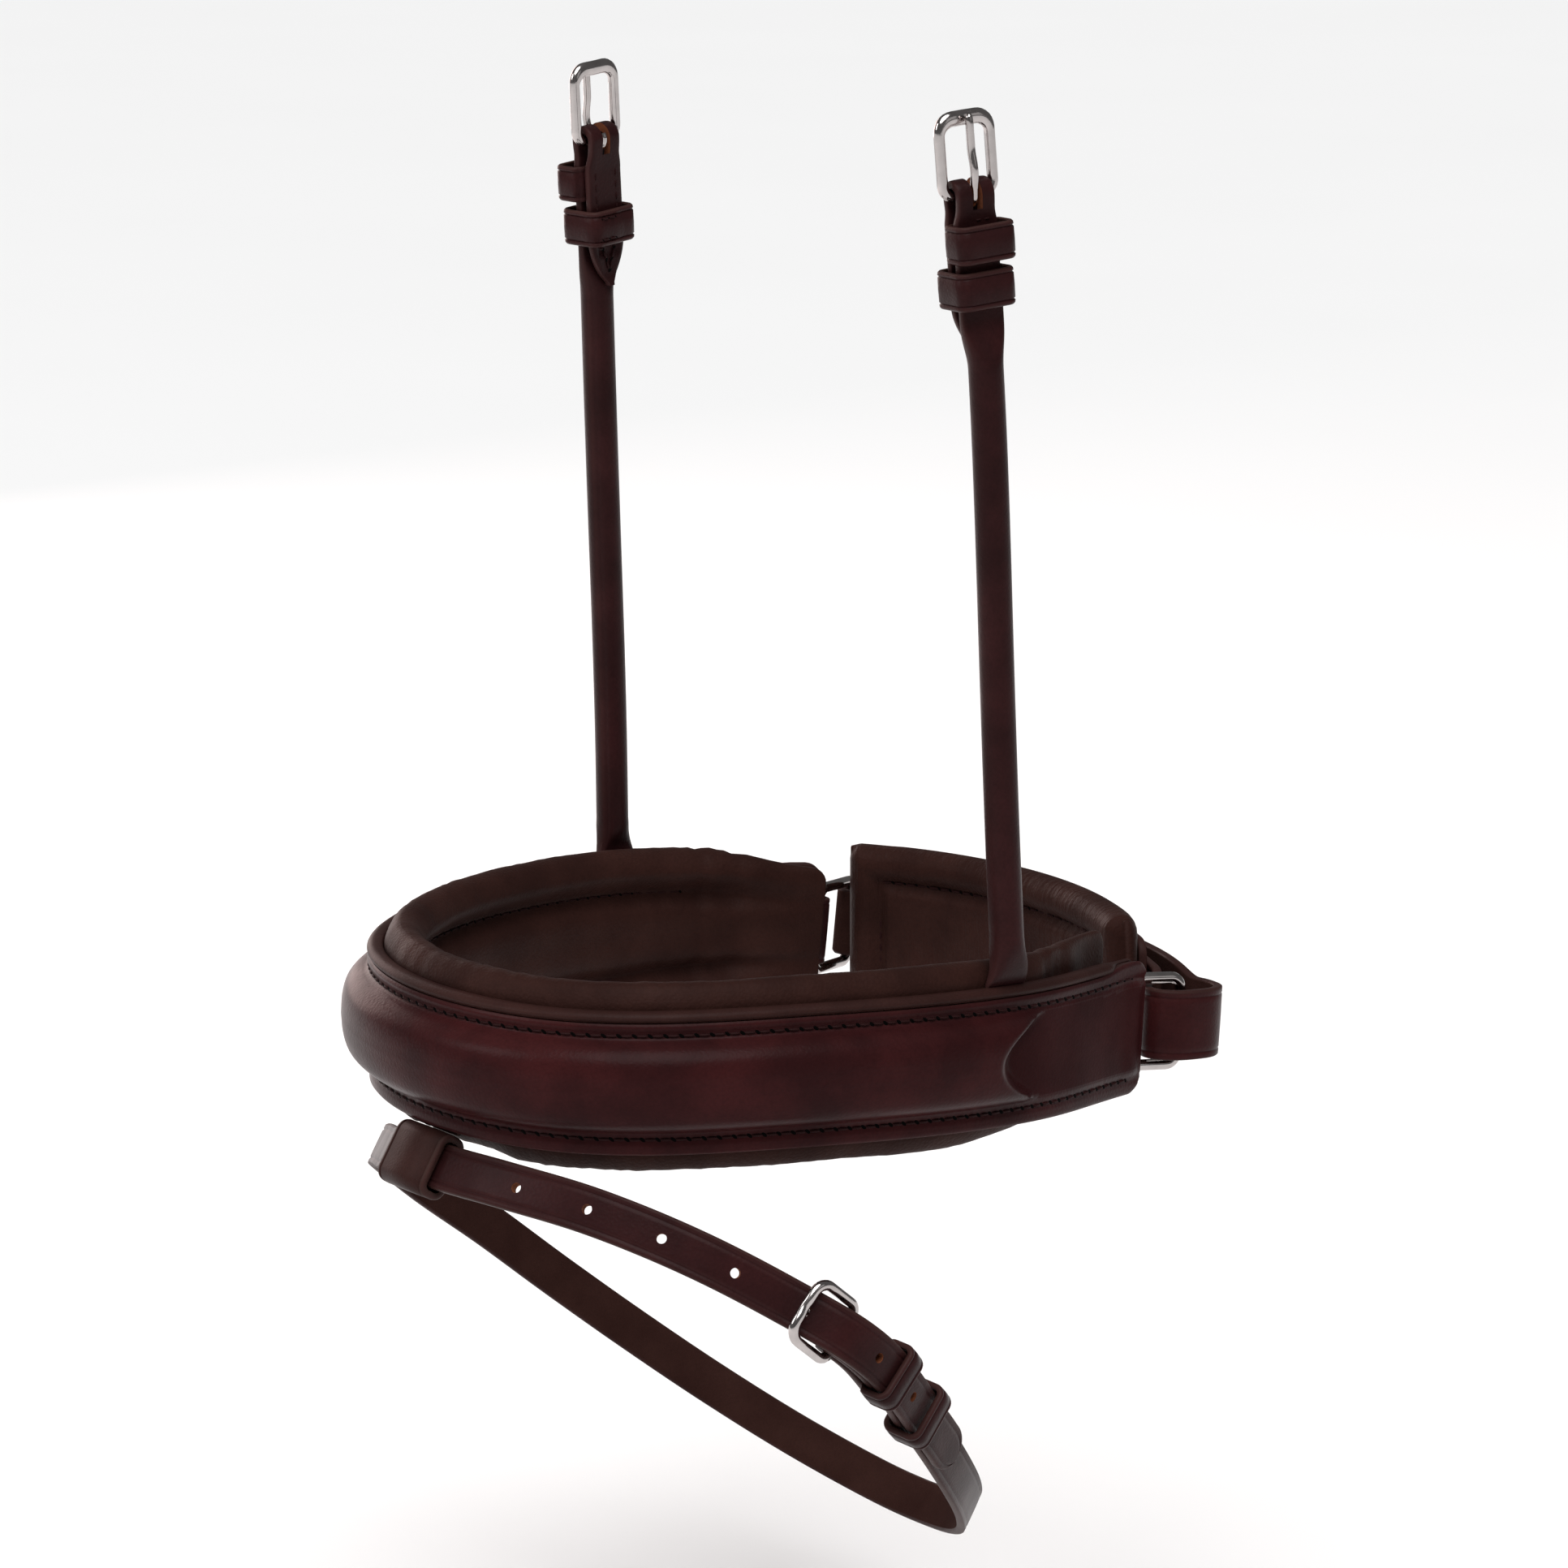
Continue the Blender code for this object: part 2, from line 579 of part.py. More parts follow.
def band_places(low, high, breaks=()):
    """Places along the band that all its layers share, closest where it curves most."""
    front = BAND_HALF_LENGTH * 0.45
    grid = stations(0.0, front, 0.0080) + stations(front, BAND_HALF_LENGTH, 0.0125)[1:]
    places = sorted({*grid, *(-g for g in grid)})
    marks = sorted({low, high, *(b for b in breaks if low < b < high)})
    kept = [g for g in places if low < g < high and min(abs(g - m) for m in marks) > 0.0012]
    return sorted([*kept, *marks])


def mirror_half(half):
    """A profile's top half, from its edge to its middle, with the bottom half added."""
    half = list(half)
    return half + [(out, -up) for out, up in half[-2::-1]]


def band_rings(rail, places, profile):
    """Rings of a profile of (out, up) points at places along the band."""
    return [[rail.place(along, out, up) for out, up in profile(along)] for along in places]


def leather_profile(along):
    """Outer leather of the band at a place: a flange, and the hollow raise over the filler."""
    from_end = BAND_HALF_LENGTH - abs(along)
    half = BAND_HEIGHT / 2
    if from_end < BAND_CORNER:
        half += math.sqrt(BAND_CORNER**2 - (BAND_CORNER - from_end) ** 2) - BAND_CORNER
    rise = RAISE_HEIGHT + BAND_THICKNESS - RAISE_WALL
    outside = [(0.0, half)]
    outside += [(RAISE_HEIGHT * high * raise_share(from_end, wide, 0.0), RAISE_HALF_WIDTH * wide)
                for wide, high in RAISE_OUTSIDE]
    inside = [(-BAND_THICKNESS, half)]
    inside += [(rise * high * raise_share(from_end, wide, 0.003) - BAND_THICKNESS, RAISE_HALF_WIDTH * wide)
               for wide, high in RAISE_INSIDE]
    return mirror_half(outside) + mirror_half(inside)[::-1]


def filler_profile(along):
    """Filler under the raise."""
    from_end = BAND_HALF_LENGTH - abs(along)
    rise = RAISE_HEIGHT + BAND_THICKNESS - RAISE_WALL
    top = [(rise * high * raise_share(from_end, wide, 0.0072) - BAND_THICKNESS - GAP,
            RAISE_HALF_WIDTH * wide - GAP) for wide, high in RAISE_INSIDE[1:-1]]
    top.append((rise * raise_share(from_end, 0.0, 0.0072) - BAND_THICKNESS - GAP, 0.0))
    foot = (-BAND_THICKNESS, RAISE_HALF_WIDTH * RAISE_INSIDE[0][0] - GAP)
    return mirror_half([foot] + top)


def backing_profile(along):
    """Backing of the band: cut away for the hangers' roots and the flash tab."""
    edge = BAND_HEIGHT / 2
    top, bottom = edge + BACKING_RIM, edge + BACKING_RIM
    rims = [BACKING_RIM + 0.0003, BACKING_RIM + 0.0003]
    beside_root = abs(abs(along) - HANGER_AT) - HANGER_ROOT_WIDTH / 2 - GAP
    beside_tab = abs(along) - FLASH_LOOP_WIDTH / 2 - GAP
    if beside_root < 0.0001:
        top = edge - HANGER_ROOT_DEPTH - GAP
    if beside_root < 0.0005:
        rims[0] = 0.0
    if beside_tab < 0.0001:
        bottom = -FLASH_TAB_TOP - GAP
    if beside_tab < 0.0005:
        rims[1] = 0.0
    face, back = -BACKING_FACE, -BACKING_FACE - BACKING_THICKNESS
    ring = []
    for sign, reach, rim in ((1, top, rims[0]), (-1, bottom, rims[1])):
        side = [(back, reach), (face + rim, reach), (face + rim, reach - 0.0012), (face, reach - 0.0013)]
        side = [(out, sign * up) for out, up in side]
        ring += side if sign > 0 else side[::-1]
    return ring


def pad_profile(along):
    """Lining of the band: a roll along each edge, sewn channels, and thin flaps at its ends."""
    from_end = BAND_HALF_LENGTH - abs(along)
    side = "left" if along > 0 else "right"
    taper = ease(from_end, PAD_END, PAD_TAPER)
    edge = BAND_HEIGHT / 2
    crest = edge + PAD_RISE
    back = -PAD_FACE - PAD_THICKNESS
    full = ((-PAD_FACE, edge - 0.002), (-PAD_FACE - 0.0005, edge + 0.0025), (-PAD_FACE - 0.0039, crest),
            (back + 0.002, crest - 0.001), (back - 0.001, crest - PAD_ROLL - 0.0009),
            (back + PAD_CHANNEL_DEPTH, PAD_CHANNEL), (back, PAD_CHANNEL * 0.55), (back, 0.0))
    flap = -RING_DEPTH - RING_WIRE - RUNNING - TAB_THICKNESS - GAP
    thin = (flap - PAD_END_THICKNESS)
    end = ((flap, edge - 0.004), (flap - 0.0001, edge + 0.0015), (flap - 0.0006, crest),
           (thin + 0.0006, crest - 0.0006), (thin, edge + 0.001), (thin + 0.0004, PAD_CHANNEL),
           (thin, PAD_CHANNEL * 0.55), (thin, 0.0))
    behind_tab = -PAD_FACE - 2 * TAB_THICKNESS - 2 * GAP
    limit = -PAD_FACE
    limit += (behind_tab + PAD_FACE) * (1.0 - ease(from_end, TAB_REACH + 0.002, TAB_REACH + 0.008))
    limit += (flap - behind_tab) * (1.0 - ease(from_end, 0.013, 0.017))
    heights = (PAD_END_HIGH[side] / crest, PAD_END_LOW / crest)
    ring = []
    for sign, height in zip((1, -1), heights):
        stretch = height + (1.0 - height) * taper
        half = []
        for (out, up), (thin_out, thin_up) in zip(full, end):
            depth = min(limit, thin_out + (out - thin_out) * taper)
            half.append((depth, sign * stretch * (thin_up + (up - thin_up) * taper)))
        ring += half if sign > 0 else half[-2::-1]
    return ring


def build_band(rail):
    """The nose band's leather, filler, backing and lining."""
    end = BAND_HALF_LENGTH
    near_end = [g * (end - d) for g in (1, -1) for d in (0.0008, 0.0025, BAND_CORNER)]
    fades = [g * (end - d) for g in (1, -1)
             for d in (0.044, 0.048, 0.052, 0.056, 0.060, 0.064, 0.068, 0.072, 0.076)]
    skin("nose_leather", band_rings(rail, band_places(-end, end, near_end + fades), leather_profile),
         "outer_leather")
    stop = end - RAISE_END - 0.011
    skin("nose_raise", band_rings(rail, band_places(-stop, stop, [g * (stop - 0.006) for g in (1, -1)]),
                                  filler_profile), "filler")
    notches = []
    for g in (1, -1):
        for half, middle in ((HANGER_ROOT_WIDTH / 2, g * HANGER_AT), (FLASH_LOOP_WIDTH / 2, 0.0)):
            for way in (1, -1):
                notches += [middle + way * (half + GAP + more) for more in (0.0, 0.0004, 0.0008)]
    stop = end - BACKING_END
    skin("nose_backing", band_rings(rail, band_places(-stop, stop, notches), backing_profile),
         "backing_leather")
    stop = end - PAD_END
    steps = [g * (end - d) for g in (1, -1) for d in (0.013, 0.015, 0.017, 0.022, 0.036, 0.039, 0.042)]
    skin("nose_pad", band_rings(rail, band_places(-stop, stop, steps), pad_profile), "lining_leather")


def build_ring(rail, side):
    """A square ring and the tab that holds it at one end of the band; gives the outer bar's place."""
    way = 1 if side == "left" else -1
    inner = (BAND_HALF_LENGTH - RING_INSET, -RING_DEPTH)
    radius = RING_WIRE + RUNNING + TAB_THICKNESS / 2
    lower = -RING_DEPTH + RING_WIRE - TAB_THICKNESS / 2
    second = min(lower, inner[1] + radius - TAB_THICKNESS - GAP)
    knots = [(BAND_HALF_LENGTH - TAB_REACH, inner[1] + radius), (inner[0] - 0.010, inner[1] + radius)]
    knots += bend(inner, radius, 1)
    knots += [(inner[0] - 0.004, inner[1] - radius + 0.0008), (inner[0] - 0.010, second),
              (BAND_HALF_LENGTH - TAB_REACH + 0.003, second)]
    line = [np.concatenate([rail.place(way * along, out), rail.frame(way * along)[3]])
            for along, out in curve_through(knots, 0.008)]
    strap("ring_tab_" + side, "strap_leather", line, TAB_WIDTH, TAB_THICKNESS)
    angle = math.radians(RING_ANGLE[side])
    centre, heading, outward, up = rail.frame(way * inner[0])
    centre = rail.place(way * inner[0], inner[1])
    along = heading * way * math.cos(angle) + outward * math.sin(angle)
    normal = np.cross(up, along)
    half = RING_HEIGHT / 2
    loop = rounded_loop(half, 0.0, RING_LENGTH, RING_CORNER)
    points = [centre + up * x + along * y for x, y in loop]
    skin("ring_" + side, wire_rings(np.array(points), normal, RING_WIRE, True), "stainless",
         closed=True, origin=centre)
    return centre + along * RING_LENGTH, up


def pose_on(rail, along, out, way=1, rise=0.0):
    """A pose beside a rail: Y along it, turned outwards by a rise, and Z outwards."""
    _, heading, outward, _ = rail.frame(along)
    ahead = unit(heading * way + outward * rise)
    away = unit(outward - heading * way * rise)
    return pose_of(rail.place(along, out), np.cross(ahead, away), ahead, away)


def slot_disc(name, pose, radius):
    """A guide disc round a buckle's bar that cuts the slot for its tongue."""
    turn = pose @ Matrix.Rotation(math.radians(90), 4, "Y")
    return pin_cutter(name, radius, TONGUE_SLOT, [turn], segments=24)


def knots_between(start, end, steps):
    """Knots in a straight row from one (along, out) place to another."""
    return [tuple(row) for row in np.linspace(start, end, steps)]


def chin_profile(along, length):
    """Chin padding at a place: a padded border round a sewn panel on the side of the jaw."""
    half = CHIN_HEIGHT / 2
    start = CHIN_LEATHER_HEIGHT / 2 + GAP
    from_end = min(along, length - along)
    bulk = 0.42 + 0.58 * math.sqrt(max(0.0, 1.0 - (1.0 - min(1.0, from_end / 0.009)) ** 2))
    outer = CHIN_THICKNESS * 0.45 * bulk
    if along > length / 2:
        outer = min(outer, 0.0012 + 0.0036 * ease(from_end, 0.007, 0.016))
    inner = -CHIN_THICKNESS * 0.55 * bulk
    seam = inner + CHIN_CHANNEL * bulk
    across_seam = max(0.0, 1.0 - abs(from_end - CHIN_BORDER) / 0.0035)
    panel = inner + CHIN_CHANNEL * bulk * across_seam
    outside = [(0.0, half), (outer - 0.0013 * bulk, half - 0.0012), (outer, half - 0.0045),
               (outer, start), (outer, 0.0)]
    inside = [(inner + 0.0017 * bulk, half - 0.0013), (inner, half - 0.0050), (seam, half - CHIN_BORDER),
              (panel, half - CHIN_BORDER - 0.0035), (panel, 0.0)]
    ends = ease(abs(along - length / 2), length / 4, length / 2)
    ring = mirror_half(outside) + mirror_half(inside)[::-1]
    return [(out + CHIN_LEAN * ends * max(0.0, (-up - start) / (half - start)), up) for out, up in ring]


def crank_line(band, chin, crank, link, link_up):
    """Middle line of the crank strap: right ring, chin, left ring, and back over the chin."""
    level = np.array([0.0, 0.0, 1.0])
    end = BAND_HALF_LENGTH
    ring_up = band.frame(end)[3]
    leg = CRANK_LEG_OUT
    point, heading, outward, _ = chin.frame(chin.length)
    bar = (chin.length + np.dot(link - point, heading), np.dot(link - point, outward))
    drop = link[2] - CHIN_LEVEL
    radius = RING_WIRE + RUNNING + CRANK_THICKNESS / 2
    knots = []

    def add(place, across):
        knots.append(np.concatenate([place, unit(across) * 0.001]))

    for along, out in knots_between((bar[0] - CRANK_TURN_BACK, bar[1] - radius),
                                    (bar[0] - 0.003, bar[1] - radius), 2):
        add(chin.place(along, out, drop), link_up)
    for along, out in bend(bar, radius, 1, -90, 90):
        add(chin.place(along, out, drop), link_up)
    add(chin.place(bar[0] - 0.004, bar[1] + radius - 0.0001, drop), link_up)
    add(chin.place(bar[0] - 0.012, leg + 0.0002, drop * 0.6), level * 0.5 + link_up * 0.5)
    for along in np.linspace(bar[0] - 0.022, 0.007, 8):
        add(chin.place(along, leg), level)
    add(chin.place(0.0005, leg, -0.0001), level)
    for k, (beyond, out) in enumerate(CRANK_LOOP[:-1]):
        share = min(1.0, 0.4 + 0.3 * k, 0.4 + 0.3 * (len(CRANK_LOOP) - 2 - k))
        add(band.place(end + beyond, out), ring_up * share + level * (1.0 - share))
    hinge = CRANK_BUCKLE_AT
    for along, out in CRANK_OVER:
        add(crank.place(hinge + along, out), level)
    return curve_through(knots, STRAP_STEP)


def build_chin(band, link, link_up):
    """Chin piece with its crank strap, and the crank's buckle, keepers and folded chape."""
    chin, crank = chin_rail(), chin_rail(CRANK_BAR_OUT)
    extra = [*CHIN_STATIONS, *(chin.length - reach for reach in CHIN_STATIONS), chin.length - CHIN_LAST_STATION]
    places = stations(0.0, chin.length, STRAP_STEP, extra)
    rings = [[chin.place(along, out, up) for out, up in chin_profile(along, chin.length)] for along in places]
    skin("chin_pad", rings, "lining_leather", origin=link)
    inset = CHIN_LEATHER_INSET
    out = CHIN_THICKNESS * 0.45 + GAP + CHIN_LEATHER_THICKNESS / 2
    row = on_rail(chin, knots_between((inset["left"], out), (chin.length - inset["right"], out), 6), CHIN_STEP)
    strap("chin_leather", "outer_leather", row, CHIN_LEATHER_HEIGHT, CHIN_LEATHER_THICKNESS,
          tips=(CHIN_LEATHER_TIP, CHIN_LEATHER_TIP), origin=link)
    band_strap = strap("crank_strap", "strap_leather", crank_line(band, chin, crank, link, link_up),
                       CRANK_WIDTH, CRANK_THICKNESS, tips=(0.0, CRANK_TIP), origin=link)
    hinge = CRANK_BUCKLE_AT
    low, high = CRANK_SLOT
    middle = (low + high) / 2
    cut(band_strap, box_cutter("crank_slot_guide", (TONGUE_SLOT, high - low, CRANK_SLOT_CUT),
                               pose_on(crank, hinge + middle, 0.0032)))
    pins = [pose_on(crank, hinge + middle + way * CRANK_HOLE_PITCH, out) for way, out in ((-1, 0.0), (1, 0.0036))]
    cut(band_strap, pin_cutter("crank_hole_guide", CRANK_HOLE, 0.0040, pins))
    thick = CRANK_TAB_THICKNESS
    radius = CRANK_BUCKLE_WIRE + RUNNING + thick / 2
    second = thick + CRANK_LAYER_GAP - radius
    knots = knots_between((hinge + CRANK_TAB_REACH, -radius), (hinge + 0.006, -radius), 3)
    knots += bend((hinge, 0.0), radius, -1, -90, 90)
    knots += [(hinge + 0.005, radius - 0.0008), (hinge + 0.011, second)]
    knots += knots_between((hinge + 0.018, second), (hinge + CRANK_TAB_REACH - 0.003, second), 2)
    chape = strap("crank_chape", "strap_leather", on_rail(crank, knots, 0.006), CRANK_WIDTH, thick, origin=link)
    rise = CRANK_BUCKLE_RISE / CRANK_BUCKLE_LENGTH
    pose = pose_on(crank, hinge, 0.0, -1, rise)
    cut(chape, slot_disc("chape_slot_guide", pose, radius + thick / 2 + 0.0010))
    buckle_frame("crank_buckle_frame", pose, CRANK_WIDTH + 2 * SIDE_PLAY, CRANK_BUCKLE_LENGTH, CRANK_BUCKLE_WIRE)
    tongue("crank_tongue", pose, CRANK_BUCKLE_WIRE, CRANK_BUCKLE_LENGTH + 0.0010, 0.0)
    floor = second - thick / 2 - (CRANK_LAYER_GAP - KEEPER_LEG) / 2
    roof = second + thick / 2 + GAP + CRANK_THICKNESS + SLACK
    for name, at in zip(("crank_fixed_keeper", "crank_runner"), CRANK_KEEPERS_AT):
        loop_band(name, pose_on(crank, hinge + at, 0.0), CRANK_WIDTH / 2 + SIDE_PLAY, floor, roof,
                  CRANK_KEEPER_HEIGHT, KEEPER_THICKNESS, KEEPER_LEG, "strap_leather")
    put_origin(bpy.data.objects["crank_fixed_keeper"], link)


def flash_line(rail):
    """Middle line of the flash strap: turn-back, buckle, round the jaw, and through the buckle."""
    bar, whole = FLASH_BAR_AT, rail.length
    thick = FLASH_THICKNESS
    radius = FLASH_BUCKLE_WIRE + RUNNING + thick / 2
    apart = (thick + FLASH_LAYER_GAP) / 2
    knots = knots_between((bar + FLASH_TURN_BACK, -apart), (bar + 0.009, -apart), 6)
    knots += bend((bar, 0.0), radius, -1, -90, 90)
    knots += knots_between((bar + 0.009, apart), (bar + 0.027, apart), 5)
    knots += [(bar + 0.0315, apart * 0.75), (bar + 0.036, apart * 0.4), (bar + 0.041, apart * 0.1), (bar + 0.047, 0.0)]
    knots += knots_between((bar + 0.060, 0.0), (whole + bar - 0.040, 0.0), 14)
    knots += [(whole + bar + along, out) for along, out in FLASH_OVER]
    return on_rail(rail, knots, STRAP_STEP)


def build_flash(band):
    """The flash loop under the front of the band, and the flash strap with its buckle."""
    rail = flash_rail()
    swing = (0.0, FLASH_SWING[0], FLASH_SWING[1])
    tab_out = -BACKING_FACE - BACKING_THICKNESS / 2
    tab = [(tab_out, up) for up in np.linspace(FLASH_TAB_TOP, FLASH_TAB_BOTTOM, 3)]
    half = FLASH_LOOP_WIDTH / 2
    rings = []
    for along in np.linspace(-half, half, 5):
        edge = FLASH_TAB_THICKNESS / 2
        rings.append([band.place(along, out + way * edge, up) for way in (1, -1) for out, up in tab[::way]])
    skin("flash_tab", rings, "backing_leather")
    loop = loop_band("flash_loop", pose_on(rail, 0.0, 0.0), FLASH_WIDTH / 2 + SIDE_PLAY,
                     -FLASH_THICKNESS / 2 - FLASH_SLACK, FLASH_THICKNESS / 2 + FLASH_SLACK, FLASH_LOOP_WIDTH,
                     FLASH_LOOP_THICKNESS, FLASH_LOOP_THICKNESS, "backing_leather")
    put_origin(loop, swing)
    piece = strap("flash_strap", "strap_leather", flash_line(rail), FLASH_WIDTH, FLASH_THICKNESS,
                  tips=(0.004, FLASH_TIP), origin=swing)
    bar = FLASH_BAR_AT
    radius = FLASH_BUCKLE_WIRE + RUNNING + FLASH_THICKNESS
    rise = FLASH_BUCKLE_RISE / FLASH_BUCKLE_LENGTH
    pose = pose_on(rail, bar, 0.0, -1, rise)
    cut(piece, slot_disc("flash_slot_guide", pose, radius + 0.00015))
    over = np.array(FLASH_OVER)
    pins = []
    for k in range(-FLASH_TAIL_HOLES, FLASH_HOLES):
        along = -FLASH_HOLE_AT - k * FLASH_HOLE_PITCH
        out = np.interp(along, over[:, 0], over[:, 1])
        pins.append(pose_on(rail, bar + along, out))
    cut(piece, pin_cutter("flash_hole_guide", FLASH_HOLE, FLASH_THICKNESS + GAP, pins))
    buckle_frame("flash_buckle_frame", pose, FLASH_WIDTH + 2 * SIDE_PLAY, FLASH_BUCKLE_LENGTH, FLASH_BUCKLE_WIRE)
    back = pose_on(rail, bar, 0.0, -1, -FLASH_TONGUE_DROP) @ Matrix.Rotation(math.pi, 4, "Y")
    tongue("flash_tongue", back, FLASH_BUCKLE_WIRE, FLASH_BUCKLE_LENGTH + 0.0010, 0.0001)
    wide = FLASH_WIDTH / 2 + SIDE_PLAY
    out = np.interp(FLASH_FIXED_AT, over[:, 0], over[:, 1])
    loop_band("flash_fixed_keeper", pose_on(rail, bar + FLASH_FIXED_AT, 0.0), wide,
              KEEPER_LEG / 2, out + FLASH_THICKNESS / 2 + SLACK, FLASH_KEEPER_HEIGHT,
              KEEPER_THICKNESS, KEEPER_LEG, "strap_leather")
    put_origin(bpy.data.objects["flash_fixed_keeper"], swing)
    out = np.interp(FLASH_RUNNER_AT, over[:, 0], over[:, 1])
    loop_band("flash_runner", pose_on(rail, bar + FLASH_RUNNER_AT, 0.0), wide,
              -FLASH_THICKNESS / 2 - FLASH_SLACK, out + FLASH_THICKNESS / 2 + FLASH_SLACK, FLASH_KEEPER_HEIGHT,
              KEEPER_THICKNESS, KEEPER_THICKNESS, "strap_leather")


def put_origin(piece, point):
    """Move a piece's origin to a point with its shape left where it is."""
    shift = Matrix.Translation(Vector(point)).inverted() @ piece.matrix_world
    piece.data.transform(shift)
    piece.matrix_world = Matrix.Translation(Vector(point))


def hanger_rail(band, way):
    """The line of a hanger from the band's top edge to its buckle's bar."""
    base = band.place(way * HANGER_AT, HANGER_BASE_OUT, BAND_HEIGHT / 2)
    points = base + curve_through(np.array(HANGER_LINE) * HANGER_RISE, 0.006) * (way, 1, 1)
    heading = unit(points[-1] - points[-4])
    twist = math.radians(HANGER_TWIST)
    normal = np.array([way * math.cos(twist), -math.sin(twist), 0.0])
    return Rail(points, np.cross(normal, heading))


def hanger_rings(band, rail, way):
    """Rings of a hanger strap: root, roll, flat, fold over the buckle's bar, and turn-back."""
    at = way * HANGER_AT
    edge = BAND_HEIGHT / 2
    _, _, outward, up = band.frame(at)
    across = unit(np.cross(outward, up))
    rings = []

    def add(point, side, through, width, thickness, roundness):
        rings.append([point + side * x + through * z for x, z in strap_section(width, thickness, roundness)])

    root_out = -BACKING_FACE - BACKING_THICKNESS / 2
    for height in (edge - HANGER_ROOT_DEPTH, edge * 0.5, edge + 0.0002):
        add(band.place(at, root_out, height), across, outward, HANGER_ROOT_WIDTH, HANGER_ROOT_THICKNESS, 0.0)
    for height, width, thickness, out, roundness in HANGER_NECK:
        share = ease(height, edge, edge + 0.012)
        place = band.place(at, out, height)
        low = rail.place(height - edge, 0.0)
        place = place * (1.0 - share) + low * share
        side = unit(across * (1.0 - share) + rail.frame(0.0)[3] * share)
        add(place, side, outward, width, thickness, roundness)
    bar = HANGER_BUCKLE_WIRE + RUNNING + HANGER_FLAT_THICKNESS / 2
    flat_out = HANGER_LAYER_GAP / 2 + HANGER_FLAT_THICKNESS / 2
    rolled = HANGER_FLAT_LENGTH + HANGER_ROLL_LENGTH
    start = rail.length - rolled
    drops = list(np.linspace(rail.length - 0.021, rolled + 0.004, 9))
    drops += [HANGER_FLAT_LENGTH + HANGER_ROLL_LENGTH * f for f in (1.0, 0.72, 0.5, 0.28, 0.0)]
    drops += HANGER_STATIONS
    for drop in drops:
        roll = ease(drop, HANGER_FLAT_LENGTH, rolled)
        width = HANGER_FLAT_WIDTH + (HANGER_ROLL - HANGER_FLAT_WIDTH) * roll
        width += (HANGER_FOLD_WIDTH - HANGER_FLAT_WIDTH) * (1.0 - ease(drop, 0.0035, 0.0085))
        thickness = HANGER_FLAT_THICKNESS + (HANGER_ROLL - HANGER_FLAT_THICKNESS) * roll
        out = flat_out + (HANGER_ROLL_OUT - flat_out) * roll
        out += (bar - flat_out) * (1.0 - ease(drop, 0.0, 0.0100))
        out *= 1.0 - ease(drop, rolled, start + 0.02)
        _, _, normal, side = rail.frame(rail.length - drop)
        add(rail.place(rail.length - drop, out), side, normal, width, thickness, roll)
    top = rail.length
    _, heading, normal, side = rail.frame(top)
    for turn in np.radians(np.linspace(90, -90, 7)):
        through = heading * math.cos(turn) + normal * math.sin(turn)
        thickness = HANGER_FLAT_THICKNESS + (HANGER_TURN_THICKNESS - HANGER_FLAT_THICKNESS) * (0.5 - turn / math.pi)
        reach = HANGER_BUCKLE_WIRE + RUNNING + thickness / 2
        add(rail.place(top, 0.0) + through * reach, side, through, HANGER_FOLD_WIDTH, thickness, 0.0)
    thin = HANGER_TURN_THICKNESS
    back_out = -HANGER_LAYER_GAP / 2 - thin / 2
    length = HANGER_TURN_BACK
    for drop in (*HANGER_STATIONS[::-1], *HANGER_TIP_STATIONS, length - HANGER_TIP_END, length):
        roll = ease(drop, HANGER_FLAT_LENGTH, rolled)
        width = HANGER_FOLD_WIDTH + (HANGER_FLAT_WIDTH - HANGER_FOLD_WIDTH) * ease(drop, 0.0035, 0.0085)
        width *= math.sqrt(max(0.06, 1.0 - ease(drop, length - 0.014, length + 0.0005) ** 1.2))
        front = flat_out + (HANGER_ROLL_OUT - flat_out) * roll
        front -= (HANGER_FLAT_THICKNESS + (HANGER_ROLL - HANGER_FLAT_THICKNESS) * roll) / 2
        out = min(back_out, front - GAP - thin / 2)
        settle = HANGER_BUCKLE_WIRE + RUNNING + thin / 2 + back_out
        out -= settle * (1.0 - ease(drop, 0.0, 0.0100))
        _, _, normal, side = rail.frame(top - drop)
        add(rail.place(top - drop, out), side, -normal, width, thin, 0.0)
    return rings


def build_hanger(band, side):
    """A rolled hanger with its buckle, tongue, keeper and runner."""
    way = 1 if side == "left" else -1
    rail = hanger_rail(band, way)
    top = rail.length
    piece = skin("hanger_strap_" + side, hanger_rings(band, rail, way), "strap_leather")
    pose = pose_on(rail, top, 0.0)
    radius = HANGER_BUCKLE_WIRE + RUNNING + HANGER_FLAT_THICKNESS
    cut(piece, slot_disc("hanger_slot_guide_" + side, pose, radius + HANGER_SLOT_MORE))
    buckle_frame("hanger_buckle_" + side, pose, HANGER_FOLD_WIDTH + 2 * SIDE_PLAY, HANGER_BUCKLE_LENGTH,
                 HANGER_BUCKLE_WIRE)
    tongue("hanger_tongue_" + side, pose, HANGER_BUCKLE_WIRE, HANGER_BUCKLE_LENGTH + 0.0012, 0.0)
    face = HANGER_LAYER_GAP / 2 + HANGER_FLAT_THICKNESS
    wide = HANGER_FLAT_WIDTH / 2 + SIDE_PLAY
    loop_band("hanger_fixed_keeper_" + side, pose_on(rail, top - HANGER_FIXED_DROP, 0.0), wide,
              HANGER_LAYER_GAP / 2 - GAP, face + BILLET_ROOM, KEEPER_HEIGHT, KEEPER_THICKNESS, KEEPER_LEG,
              "strap_leather")
    loop_band("hanger_runner_" + side, pose_on(rail, top - HANGER_RUNNER_DROP, 0.0), wide,
              -HANGER_LAYER_GAP / 2 - HANGER_TURN_THICKNESS - RUNNER_BACK_ROOM, face + RUNNER_ROOM, KEEPER_HEIGHT,
              KEEPER_THICKNESS, KEEPER_THICKNESS, "strap_leather")


